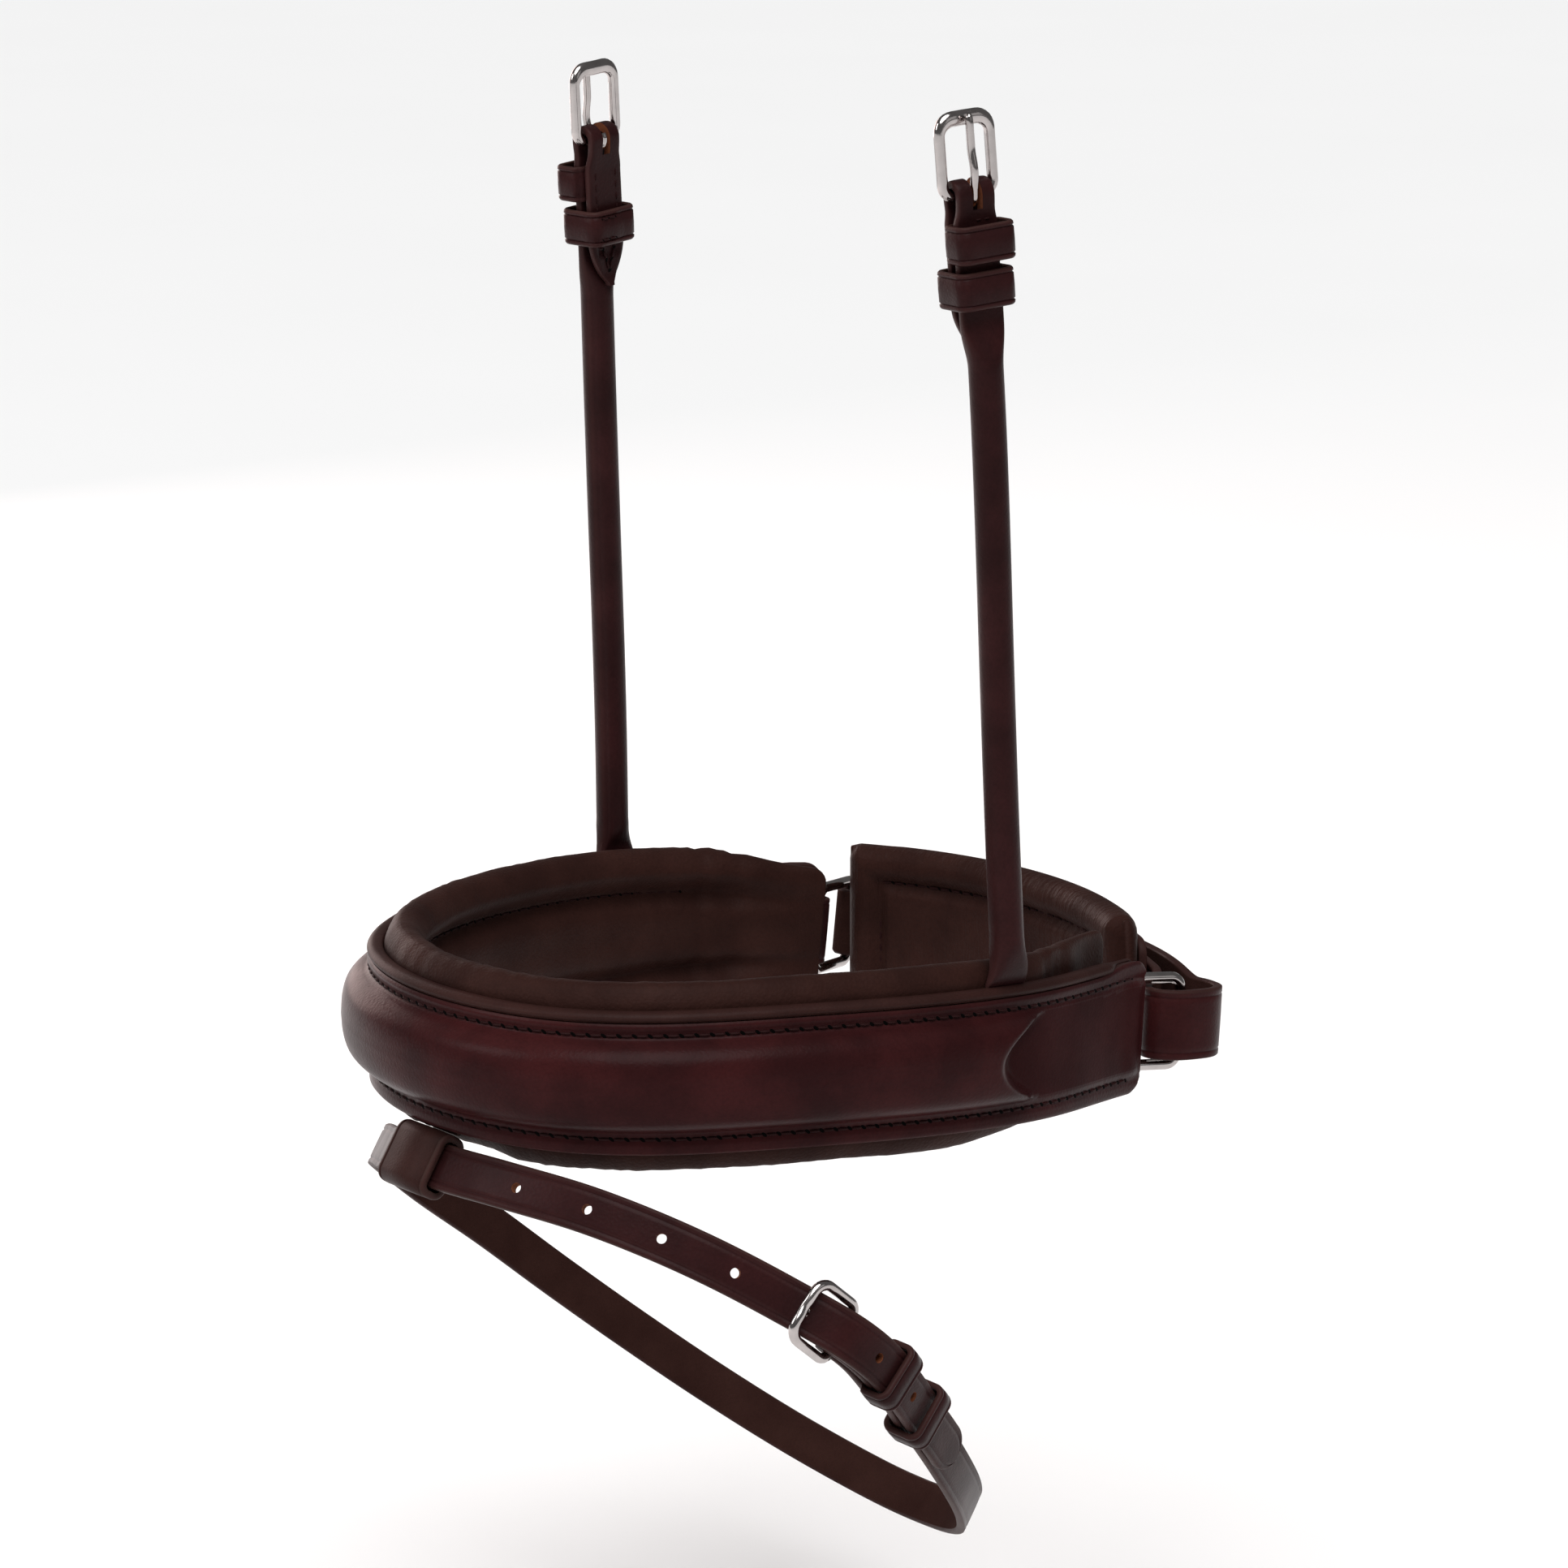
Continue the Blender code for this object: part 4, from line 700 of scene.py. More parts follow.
def tip_places(length: float, tip: float, step: float,
               start_tip: float = 0.0) -> tuple[np.ndarray, np.ndarray]:
    """Places along a strap and its share of width there, with round tips.

    Args:
        length: The strap's length.
        tip: Length of the rounding at its end, or 0 for a square end.
        step: Distance between places away from the tips.
        start_tip: The same rounding at its start.

    Returns:
        The places and the shares.
    """
    turns = np.radians(np.linspace(6, 84, 9))
    low = start_tip * (1 - np.cos(turns)) if start_tip else np.array([0.0, 0.0004])
    high = length - (tip * (1 - np.cos(turns[::-1])) if tip else np.array([0.0004, 0.0]))
    inner = np.arange(low[-1] + step / 2, high[0] - step / 3, step)
    places = np.concatenate([low, inner, high])
    shares = np.ones(len(places))
    shares[:len(low)] = np.sin(turns) if start_tip else (0.97, 1.0)
    shares[-len(high):] = np.sin(turns[::-1]) if tip else (1.0, 0.97)
    return places, shares


def ribbon(name: str, line: np.ndarray, outline: Outline, finishes: Sequence[Finish],
           shares: np.ndarray | None = None) -> Piece:
    """A strap with an outline along a line.

    Args:
        name: The object's name.
        line: One row for each ring: its place and the direction across.
        outline: The cross-section.
        finishes: Grain, edge and flesh.
        shares: Share of the outline's width at each ring.

    Returns:
        The new object.
    """
    places, _, across, out = frames_of(line)
    shares = np.ones(len(places)) if shares is None else shares
    rings = [place + outline.spots[:, :1] * share * side + outline.spots[:, 1:2] * away
             for place, side, away, share in zip(places, across, out, shares)]
    return tube(name, rings, finishes, outline.strips, outline.wear)


def wire(name: str, path: np.ndarray, normal: Sequence[float], radii: np.ndarray, closed: bool,
         pose: Matrix, sides: int = 16) -> Piece:
    """A polished wire along a path that lies in one plane.

    Args:
        name: The object's name.
        path: Its middle line.
        normal: The plane's normal.
        radii: For each point, its radius in the plane and along the normal.
        closed: Whether the wire is a ring.
        pose: The pose that takes the path to its place.
        sides: Points round the wire.

    Returns:
        The new object.
    """
    normal = unit(normal)
    ahead = np.roll(path, -1, axis=0) - np.roll(path, 1, axis=0)
    if not closed:
        ahead = np.gradient(path, axis=0)
    side = np.cross(ahead / np.linalg.norm(ahead, axis=1)[:, None], normal)
    turns = np.linspace(0, 2 * math.pi, sides, endpoint=False)
    rings = [point + flat * np.cos(turns)[:, None] * s + tall * np.sin(turns)[:, None] * normal
             for point, s, (flat, tall) in zip(path, side, radii)]
    return tube(name, posed(np.array(rings), pose), (NICKEL,), closed=closed, sharp=75.0)


@dataclass(frozen=True)
class Stitching:
    """A row of sunk saddle stitches: thread between slanted awl pits."""

    pitch: float = 0.0041
    thread: float = 0.00042
    pit: float = 0.00092
    slant: float = 38.0
    pits: bool = True
    thread_sides: int = 6
    pit_sides: int = 10
    shape: tuple[Triple, ...] = (
        (0.10, -0.9, 0.5), (0.20, -0.25, 0.9), (0.38, 0.05, 1.0), (0.62, 0.05, 1.0), (0.80, -0.25, 0.9),
        (0.90, -0.9, 0.5))

    def row(self, name: str, places: np.ndarray, outs: np.ndarray, body: str) -> Piece:
        """Stitches along a line on a surface.

        Args:
            name: The object's name.
            places: Points of the line.
            outs: The surface's outward direction at each point.
            body: The body that the stitches ride on.

        Returns:
            The new object.
        """
        reach = lengths_along(places)
        count = max(2, round(reach[-1] / self.pitch))
        marks = np.linspace(0.0, reach[-1], count + 1)
        spots, normals = (np.column_stack([np.interp(marks, reach, column) for column in rows.T])
                          for rows in (places, outs))
        points, faces, kinds = [], [], []
        for start, end, out in zip(spots, spots[1:], normals):
            self._stitch(points, faces, start, end, unit(out))
            kinds += [0] * (len(faces) - len(kinds))
        # Each pit is drawn as a dark lens on the surface: painted shade in place of a real hole.
        if self.pits:
            for spot, ahead, out in zip(spots, np.gradient(spots, axis=0), normals):
                self._pit_shade(points, faces, spot, unit(ahead), unit(out))
                kinds += [1] * (len(faces) - len(kinds))
        mesh = mesh_of(name, [tuple(p) for p in points], faces, THREAD, PIT_SHADE)
        mesh.polygons.foreach_set("material_index", kinds)
        mesh.shade_smooth()
        return seat(placed(name, mesh), body, THREAD.slot)

    def _stitch(self, points: list, faces: list, start: np.ndarray, end: np.ndarray,
                out: np.ndarray) -> None:
        """Add one stitch, whose ends dip into their pits.

        Args:
            points: The row's points, which the stitch's are added to.
            faces: The row's faces.
            start: The pit that the stitch starts in.
            end: The pit that it ends in.
            out: The surface's outward direction.
        """
        ahead, side = end - start, unit(np.cross(end - start, out))
        base, sides = len(points), self.thread_sides
        for along, rise, size in self.shape:
            middle = start + ahead * along + out * rise * self.thread
            for k in range(sides):
                turn = 2 * math.pi * k / sides
                points.append(middle + self.thread * size * (math.cos(turn) * side + math.sin(turn) * out))
        for ring in range(len(self.shape) - 1):
            for k in range(sides):
                near, far = base + ring * sides, base + (ring + 1) * sides
                faces.append((near + k, near + (k + 1) % sides, far + (k + 1) % sides, far + k))

    def _pit_shade(self, points: list, faces: list, spot: np.ndarray, ahead: np.ndarray,
             out: np.ndarray) -> None:
        """Add one slanted pit as a shallow dark lens: painted shade for the hole's dark inside.

        Args:
            points: The row's points, which the pit's are added to.
            faces: The row's faces.
            spot: The pit's middle.
            ahead: The row's direction.
            out: The surface's outward direction.
        """
        side = unit(np.cross(ahead, out))
        turn = math.radians(self.slant)
        long_axis = ahead * math.cos(turn) + side * math.sin(turn)
        short_axis = side * math.cos(turn) - ahead * math.sin(turn)
        base, sides = len(points), self.pit_sides
        for size, rise in ((1.0, 0.00002), (0.6, 0.00007)):
            for k in range(sides):
                angle = 2 * math.pi * k / sides
                points.append(spot + out * rise + size * self.pit
                              * (math.cos(angle) * long_axis + 0.5 * math.sin(angle) * short_axis))
        for k in range(sides):
            after = (k + 1) % sides
            faces.append((base + k, base + after, base + sides + after, base + sides + k))
        faces.append(tuple(range(base + sides, base + 2 * sides)))


def punch(piece: Piece, radius: float, depth: float, poses: Sequence[Matrix],
          stretch: float = 1.0) -> None:
    """Cut holes with raw walls through a strap.

    Args:
        piece: The strap.
        radius: The holes' radius.
        depth: Length of each cutter along its own Z.
        poses: One for each hole.
        stretch: How many times longer each hole is along its pose's Y.
    """
    sides = 20
    turns = np.linspace(0, 2 * math.pi, sides, endpoint=False)
    verts, faces = [], []
    for pose in poses:
        base, top = len(verts), len(verts) + sides
        for z in (-depth / 2, depth / 2):
            ring = np.column_stack([radius * np.cos(turns), radius * stretch * np.sin(turns),
                                    np.full(sides, z)])
            verts += posed(ring, pose).tolist()
        for k in range(sides):
            after = (k + 1) % sides
            faces.append((base + k, base + after, top + after, top + k))
        faces += [tuple(range(top - 1, base - 1, -1)), tuple(range(top, top + sides))]
    cutter = placed("holes", mesh_of("holes", verts, faces, RAW))
    change = piece.modifiers.new("holes", "BOOLEAN")
    change.operation = "DIFFERENCE"
    change.solver = "EXACT"
    change.material_mode = "TRANSFER"
    change.object = cutter
    bake(piece)
    bpy.data.objects.remove(cutter)


def bake(piece: Piece) -> None:
    """Apply a piece's modifiers to its mesh.

    Args:
        piece: The piece.
    """
    bpy.context.view_layer.update()
    shown = piece.evaluated_get(bpy.context.evaluated_depsgraph_get())
    mesh = bpy.data.meshes.new_from_object(shown)
    piece.modifiers.clear()
    piece.data = mesh


def seat(piece: Piece, body: str, slot: str, *nodes: str) -> Piece:
    """Let a piece ride on a body, and stand for the nodes that it replaces.

    Args:
        piece: The piece.
        body: The body's name.
        slot: The material slot that it belongs to; not used.
        nodes: The nodes that it replaces.

    Returns:
        The piece.
    """
    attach(piece, body)
    if nodes:
        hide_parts(*nodes)
    LOG.info("%s rides on %s", piece.name, body)
    return piece


def ruffle(rings: np.ndarray, height: Callable[[np.ndarray, int, int], float]) -> np.ndarray:
    """Move a grid's points along its normals.

    Args:
        rings: The grid, one row for each ring.
        height: Gives the move at a point, its ring and its place in the ring.

    Returns:
        The moved grid.
    """
    along = np.gradient(rings, axis=0)
    around = np.roll(rings, -1, axis=1) - np.roll(rings, 1, axis=1)
    normals = np.cross(around, along)
    normals /= np.maximum(np.linalg.norm(normals, axis=2), 1e-12)[..., None]
    away = np.einsum("ijk,ijk->", normals, rings - rings.mean(1)[:, None])
    if away < 0:
        normals = -normals
    moved = rings.copy()
    for i in range(rings.shape[0]):
        for k in range(rings.shape[1]):
            moved[i, k] += normals[i, k] * height(rings[i, k], i, k)
    return moved


def dense_ring(knots: np.ndarray, pieces: int) -> np.ndarray:
    """A closed smooth ring with a fixed number of points between its knots.

    Args:
        knots: The places that the ring passes.
        pieces: Points from each knot to the next.

    Returns:
        One row for each point.
    """
    count = len(knots)
    points = []
    for i in range(count):
        before, first, second, after = knots[[(i + j) % count for j in (-1, 0, 1, 2)]]
        span = np.linalg.norm(second - first)
        slope = (second - before) / (np.linalg.norm(first - before) + span + 1e-9) * span
        next_slope = (after - first) / (np.linalg.norm(after - second) + span + 1e-9) * span
        points += [between(first, slope, second, next_slope, share) for share in np.arange(pieces) / pieces]
    return np.array(points)


@dataclass
class NoseBand:
    """The padded, raised band over the nose."""

    half_length: float = 0.2452
    front: float = -0.115
    headings: tuple[float, ...] = (0.0, 23.8, 53.1, 70.5, 79.2, 92.0, 107.8, 105.9)
    droop: tuple[float, ...] = (0.0, 0.0, 0.0, 0.0005, 0.0023, 0.0048, 0.0079, 0.0112)
    half_height: float = 0.019
    thickness: float = 0.0026
    welt_height: float = 0.0021
    corner: float = 0.0055
    raise_half: float = 0.0118
    raise_height: float = 0.0075
    raise_end: float = 0.0680
    raise_scoop: float = 0.0145
    raise_fade: float = 0.0100
    raise_shape: tuple[Knot, ...] = (
        (1.12, 0.0), (1.076, 0.012), (1.017, 0.20), (0.924, 0.50), (0.712, 0.80), (0.390, 0.95), (0.0, 1.0))
    layer: float = 0.0015
    pad_thickness: float = 0.0105
    pad_rise: float = 0.0066
    pad_roll: float = 0.0062
    channel: float = 0.0127
    channel_depth: float = 0.0040
    pad_taper: float = 0.046
    low_taper: float = 0.090
    pad_end: float = 0.004
    pad_end_thickness: float = 0.0034
    pad_end_low: float = 0.0162
    pad_end_high: tuple[float, float] = (0.0262, 0.0200)
    tab_reach: float = 0.034
    sling_room: float = 0.0016
    creases: tuple[Triple, ...] = (
        (0.0320, 0.0016, 0.0008), (0.0365, 0.0012, 0.0005), (0.0440, 0.0018, 0.0009),
        (0.0485, 0.0014, 0.0004))
    rim: tuple[Triple, ...] = (
        (-0.0011, -0.0021, 0.0), (-0.0001, -0.0013, 0.0), (0.0, -0.0004, 0.0), (-0.0009, 0.0, 0.0006),
        (-0.0024, 0.0, 0.0009))
    row_heights: tuple[float, float] = (0.0137, -0.0146)
    row_inset: float = 0.0078
    row_depth: float = 0.00038
    groove: float = 0.00042
    groove_half: float = 0.0010
    lining_row_inset: float = 0.050
    back_points: int = 7
    step: float = 0.0024
    rail: Rail = field(init=False)
    bulge: np.ndarray = field(init=False)

    def __post_init__(self) -> None:
        """Lay the band's line round the nose, and the outline of its raised middle."""
        steps = 140
        along = np.linspace(0.0, self.half_length, steps + 1)
        knots = np.linspace(0.0, self.half_length, len(self.headings))
        weight = 2 * self.half_height
        turn = curve_through(np.column_stack([knots, np.radians(self.headings) * weight]), 0.001)
        heading = np.interp(along, turn[:, 0], turn[:, 1] / weight)
        fall = curve_through(np.column_stack([knots, self.droop]), 0.001)
        half = np.zeros((steps + 1, 3))
        half[1:, 0] = np.cumsum((np.cos(heading[1:]) + np.cos(heading[:-1])) / 2) * along[1]
        half[1:, 1] = np.cumsum((np.sin(heading[1:]) + np.sin(heading[:-1])) / 2) * along[1]
        half[:, 1] += self.front
        half[:, 2] = -np.interp(along, fall[:, 0], fall[:, 1])
        self.rail = Rail(np.vstack([half[:0:-1] * (-1, 1, 1), half]), UPWARDS, centred=True)
        self.bulge = curve_through(self.raise_shape, 0.03)[::-1]

    def from_end(self, along: float) -> float:
        """Distance of a place along the band from the nearer end."""
        return self.half_length - abs(along)

    @property
    def back(self) -> float:
        """Depth of the lining's front face behind the leather's outer face."""
        return self.thickness + self.layer + 2 * GAP

    def top(self, from_end: float) -> float:
        """Height of the leather's top edge: the welt shows above it, away from its ends."""
        return self.half_height - self.welt_height * ease(from_end, 0.010, 0.026)

    def raised(self, from_end: float, up: float) -> float:
        """How far the raised middle stands out.

        Args:
            from_end: Distance from the band's end.
            up: Height on the band.

        Returns:
            The distance.
        """
        wide = abs(up) / self.raise_half
        end = self._raise_end(up)
        share = ease(from_end, end, end + self.raise_fade)
        return self.raise_height * share * float(np.interp(wide, self.bulge[:, 0], self.bulge[:, 1]))

    def flat(self, from_end: float, up: float) -> float:
        """How far a place lies inside the flat, dull patch beyond the raise's end.

        Args:
            from_end: Distance from the band's end.
            up: Height on the band.

        Returns:
            0 outside the patch, 1 well inside it.
        """
        end = self._raise_end(up)
        beyond = 1.0 - ease(from_end, end, end + 0.6 * self.raise_fade)
        return beyond * (1.0 - ease(abs(up), 0.0105, 0.0135))

    def _raise_end(self, up: float) -> float:
        """Distance of the raise's scooped end from the band's end at a height."""
        return self.raise_end - self.raise_scoop * min(1.0, abs(up) / self.raise_half) ** 2

    def face(self, along: float, up: float) -> float:
        """How far out the leather's face lies: over the raise, the tab and the end's ridge.

        Args:
            along: Distance along the band from its middle.
            up: Height on the band.

        Returns:
            The distance.
        """
        from_end = self.from_end(along)
        out = self.raised(from_end, up)
        inside = 1.0 - ease(abs(up), 0.010, 0.0155)
        ridge = ease(from_end, 0.0010, 0.0050) * (1.0 - ease(from_end, 0.0060, 0.0125))
        tab = ease(from_end, 0.0060, 0.0150) * (1.0 - ease(from_end, 0.034, 0.046))
        return out + inside * (0.00095 * ridge + 0.00035 * tab)

    def places(self, stop: float, ends: Sequence[float] = ()) -> np.ndarray:
        """Places along the band, with more near its ends.

        Args:
            stop: Distance of the last place from the band's middle.
            ends: Distances of the added places from the last one.

        Returns:
            The places in order.
        """
        row = np.linspace(-stop, stop, round(2 * stop / self.step) + 1)
        extra = [sign * (stop - end) for sign in (1, -1) for end in ends]
        return np.array(sorted({*row.tolist(), *extra}))

    def build(self) -> None:
        """Make the leather, welt, lining and stitches."""
        self._leather()
        self._welt()
        self._lining()
        self._rows()

    def _leather(self) -> None:
        """Make the outer leather, with its rows' grooves, worn edges, dull ends, and a faint painted
        highlight along the raise's foot.

        Its section has close points at the edges, under the rows, and where the raise ends.
        """
        ups = np.concatenate([np.linspace(1.0, 0.80, 6), np.linspace(0.785, 0.70, 5),
                              np.linspace(0.66, -0.66, 35), np.linspace(-0.70, -0.785, 5),
                              np.linspace(-0.80, -1.0, 6)])
        rings, wears, dulls = [], [], []
        high_row, low_row = self.row_heights
        close = [self.step * k + shift for k in range(21, 33) for shift in (0.0008, 0.0016)]
        for along in self.places(self.half_length - 0.0004, (0.0004, 0.0009, 0.0016, 0.0034, *close)):
            from_end = self.from_end(along)
            top, low = self.top(from_end), -self.half_height
            turned = 0.0
            if from_end < self.corner:
                turned = self.corner - math.sqrt(self.corner**2 - (self.corner - from_end) ** 2)
            top, low = top - turned * 0.8, low + turned
            heights = np.where(ups > 0, ups * top, -ups * low)
            outside = np.array([(self.face(along, up), up) for up in heights])
            sewn = np.minimum(np.abs(heights - high_row), np.abs(heights - low_row))
            outside[:, 0] -= self.groove * np.clip(1.55 - sewn / self.groove_half, 0.0, 1.0)
            edge = np.clip((np.abs(ups) - 0.965) / 0.035, 0.0, 1.0)
            outside[:, 0] -= 0.0006 * edge**2
            inside = np.array([(-self.thickness, up)
                               for up in np.linspace(low + 0.0003, top - 0.0003, self.back_points)])
            rings.append(self.rail.ring(along, np.vstack([outside, inside])))
            # foot picks a thin line along the raise's foot; its small share of the wear is a painted
            # highlight along the raise's edge.
            foot = np.clip(1.0 - np.abs(np.abs(heights) - self.raise_half * 0.93) / 0.003, 0.0, 1.0)
            outer_wear_and_highlight = 0.30 * edge + 0.03 * foot * ease(from_end, 0.046, 0.06)
            wears.append(np.concatenate([outer_wear_and_highlight, np.full(self.back_points, 0.1)]))
            dulls.append([self.flat(from_end, up) for up in heights] + [0.0] * self.back_points)
        strips = np.full(rings[0].shape[0], Strip.GRAIN.value)
        strips[len(ups) - 1:] = Strip.EDGE.value
        strips[len(ups):-1] = Strip.FLESH.value
        piece = tube("look_nose_leather", rings, (*BRIDLE_SET, SATIN, DULL), strips, np.array(wears))
        self._dull(piece, np.array(dulls).ravel())
        seat(piece, "band", BRIDLE.slot, "nose_leather", "nose_raise")

    def _dull(self, piece: Piece, shares: np.ndarray) -> None:
        """Give the flat patches of the leather their duller finishes.

        Args:
            piece: The leather.
            shares: For each of its points, how far it lies inside a patch.
        """
        piece.data.attributes.new("dull", "FLOAT", "POINT").data.foreach_set("value", shares)
        for face in piece.data.polygons:
            share = shares[list(face.vertices)].mean()
            if face.material_index == Strip.GRAIN.value and share > 0.3:
                face.material_index = Strip.SATIN.value if share < 0.7 else Strip.DULL.value

    def _welt(self) -> None:
        """Make the backing leather, whose rolled rim shows above the outer leather."""
        rings = []
        edge = self.half_height
        front = -self.thickness - GAP
        rear = front - self.layer
        for along in self.places(self.half_length - 0.0045):
            share = ease(self.from_end(along), 0.011, 0.020)
            rim = [(out * share + front * (1 - share), edge + up + lift * share)
                   for out, up, lift in self.rim]
            foot = [(rear, 0.0), (rear, 0.0012 - edge), (front - self.layer * 0.5, 0.0004 - edge),
                    (front, 0.0012 - edge), (front, 0.0)]
            knots = np.array([(front, edge - 0.0030), *rim, (rear, edge + 0.0002 * share), *foot])
            rings.append(self.rail.ring(along, dense_ring(knots, 3)))
        piece = tube("look_nose_backing", rings, (WELT,), sharp=80.0)
        seat(piece, "band", WELT.slot, "nose_backing")

    def _pad_knots(self, along: float) -> np.ndarray:
        """The lining's section: full and rolled in the middle, a thin flap behind the tabs.

        Args:
            along: Distance along the band from its middle.

        Returns:
            One (out, up) row for each knot.
        """
        from_end = self.from_end(along)
        taper = ease(from_end, self.pad_end, self.pad_taper)
        edge, face = self.half_height, -self.back
        crest = edge + self.pad_rise
        back = face - self.pad_thickness
        full = ((face, edge - 0.002), (face - 0.0005, edge + 0.0025), (face - 0.0039, crest),
                (back + 0.0016, crest - 0.0012), (back - 0.0011, crest - self.pad_roll - 0.0007),
                (back + self.channel_depth, self.channel), (back + 0.0003, self.channel * 0.62),
                (back, 0.0))
        ring_depth = self.back + self.layer + RUNNING + RING_WIRE
        flap = -ring_depth - RING_WIRE - RUNNING - self.layer - GAP
        thin = flap - self.pad_end_thickness
        end = ((flap, edge - 0.004), (flap - 0.0001, edge + 0.0015), (flap - 0.0006, crest),
               (thin + 0.0006, crest - 0.0006), (thin, edge + 0.001), (thin + 0.0004, self.channel),
               (thin, self.channel * 0.62), (thin, 0.0))
        behind = face - 2 * self.layer - 2 * GAP
        limit = face
        limit += (behind - face) * (1.0 - ease(from_end, self.tab_reach + 0.002, self.tab_reach + 0.020))
        limit += (flap - behind) * (1.0 - ease(from_end, 0.013, 0.030))
        tall = self.pad_end_high[0 if along > 0 else 1]
        ring: list[Knot] = []
        slow = ease(from_end, self.pad_end, self.low_taper)
        for sign, height, rise in ((1, tall / crest, taper), (-1, self.pad_end_low / crest, slow)):
            stretch = height + (1.0 - height) * rise
            half = [(min(limit, thin_out + (out - thin_out) * taper),
                     sign * stretch * (thin_up + (up - thin_up) * taper))
                    for (out, up), (thin_out, thin_up) in zip(full, end)]
            ring += half if sign > 0 else half[-2::-1]
        return np.array(ring)

    def _fold(self, along: float, up: float) -> float:
        """How far the lining's folds, puckers and creases move its surface out.

        Args:
            along: Distance along the band from its middle.
            up: Height of the place.

        Returns:
            The distance.
        """
        from_end = self.from_end(along)
        soft = noise.noise(Vector((along / 0.017, up / 0.013, 1.7))) * 0.00030
        tight = 1.0 - ease(abs(along), 0.05, 0.15)
        roll = ease(abs(up), 0.017, 0.021)
        folds = noise.noise(Vector((along / 0.0030, up / 0.014, 5.1)))
        folds = folds * (0.00014 + 0.00026 * tight * roll)
        channel = math.exp(-((abs(up) - self.channel) / 0.0026) ** 2) * ease(from_end, 0.040, 0.060)
        pucker = -0.00030 * channel * (1 + math.cos(2 * math.pi * along / 0.0041)) / 2
        wander = 0.0016 * noise.noise(Vector((up / 0.012, along, 3.3)))
        crease = sum(deep * math.exp(-((from_end - at + wander) / wide) ** 2)
                     for at, wide, deep in self.creases)
        return (soft + folds) * ease(from_end, 0.010, 0.030) + pucker - crease

    def _lining(self) -> None:
        """Make the padded lining, with a hollow at its foot where the sling passes."""
        stop = self.half_length - self.pad_end
        spots = self.places(stop - 0.0002, (0.0004, 0.0009, 0.0017, 0.0030))
        rings = np.array([self.rail.ring(along, dense_ring(self._pad_knots(along), 5)) for along in spots])
        middle = rings.mean(1)
        for i, away in enumerate(stop - np.abs(spots)):
            shrink = math.sqrt(max(0.05, 1.0 - (1.0 - min(1.0, away / 0.0045)) ** 2))
            rings[i] = middle[i] + (rings[i] - middle[i]) * (0.80 + 0.20 * shrink)
        for ring, along in zip(rings, spots):
            low = np.clip((-0.0165 - ring[:, 2]) / 0.006, 0.0, 1.0)
            ring[:, 2] += self.sling_room * low * (1.0 - ease(abs(along), 0.013, 0.030))
        free = range(1, rings.shape[1] - 6)
        piece = tube("look_nose_pad",
                     ruffle(rings, lambda p, i, k: self._fold(spots[i], p[2]) if k in free else 0.0),
                     (LINING,), sharp=85.0)
        seat(piece, "band", LINING.slot, "nose_pad")

    def _rows(self) -> None:
        """Sew the rows along the leather's margins and down the lining's channels."""
        sewing = Stitching()
        for name, up in zip(("top", "low"), self.row_heights):
            spots = np.linspace(self.row_inset - self.half_length, self.half_length - self.row_inset, 240)
            rise = 0.0008 if up > 0 else 0.0
            heights = [up + rise * (1 - ease(self.from_end(s), 0.01, 0.03)) for s in spots]
            depths = [self.face(s, u) - self.row_depth for s, u in zip(spots, heights)]
            places = self.rail.places(spots, depths, heights)
            sewing.row("look_band_stitches_" + name, places, self.rail.outs(spots), "band")
        fine = Stitching(thread=0.00035, pit=0.0007)
        stop = self.half_length - self.lining_row_inset
        out = -self.back - self.pad_thickness + self.channel_depth
        for name, sign in (("top", 1), ("low", -1)):
            spots = np.linspace(-stop, stop, 240)
            places = self.rail.places(spots, out - 0.00002, sign * self.channel)
            fine.row("look_lining_stitches_" + name, places, -self.rail.outs(spots), "band")


@dataclass
class Buckle:
    """A wire buckle that turns on its bar, with its tongue."""

    frame: str
    frame_body: str
    tongue: str
    inner_width: float
    length: float
    wire: float
    corner: float = 0.0042
    tongue_wire: float = 0.0011
    play: float = 0.0002
    flat_top: float = 1.22

    def build(self, pose: Matrix, tongue_pose: Matrix | None = None, reach: float = 0.0012,
              lift: float = 0.0) -> None:
        """Make the frame and the tongue.

        Args:
            pose: The frame's pose: its bar on local X, the frame along local Y.
            tongue_pose: The tongue's pose, where it isn't the frame's.
            reach: How far the tongue reaches past the end bar's middle.
            lift: Height of the tongue's bend.
        """
        half = self.inner_width / 2 + self.wire
        loop = rounded_loop(half, 0.0, self.length, self.corner)
        low = rounded_loop(half, 0.0, self.length, 2 * self.wire)
        outline = refined(np.where((loop[:, 1] < self.length / 2)[:, None], low, loop), 0.0012)
        path = np.column_stack([outline, np.zeros(len(outline))])
        radii = np.full((len(path), 2), self.wire)
        rise = np.array([ease(y, self.length - self.corner, self.length) for y in path[:, 1]])
        radii[:, 0] *= 1.0 + (self.flat_top - 1.0) * rise
        notch = rise * np.exp(-(path[:, 0] / 0.0016) ** 2)
        path[:, 2] -= 0.00022 * notch
        radii[:, 1] *= 1.0 - 0.16 * notch
        piece = wire("look_" + self.frame, path, (0, 0, 1), radii, True, pose)
        seat(piece, self.frame_body, NICKEL.slot, self.frame)
        eye = self.wire + self.play + self.tongue_wire
        turns = np.radians(np.linspace(-60, -270, 26))
        points = [(0.0, eye * math.cos(a), eye * math.sin(a)) for a in turns]
        end = self.length + reach
        for y in np.linspace(0.0006, end, 24)[1:]:
            sway = math.sin(math.pi * min(1.0, y / (self.length * 0.62))) ** 2
            points.append((0.0, y, eye + lift * sway))
        path = np.array(points)
        radii = np.full((len(path), 2), self.tongue_wire)
        radii[-3:] *= np.array((0.97, 0.86, 0.55))[:, None]
        piece = wire("look_" + self.tongue, path, (1, 0, 0), radii, False, tongue_pose or pose, 12)
        seat(piece, self.tongue, NICKEL.slot, self.tongue)


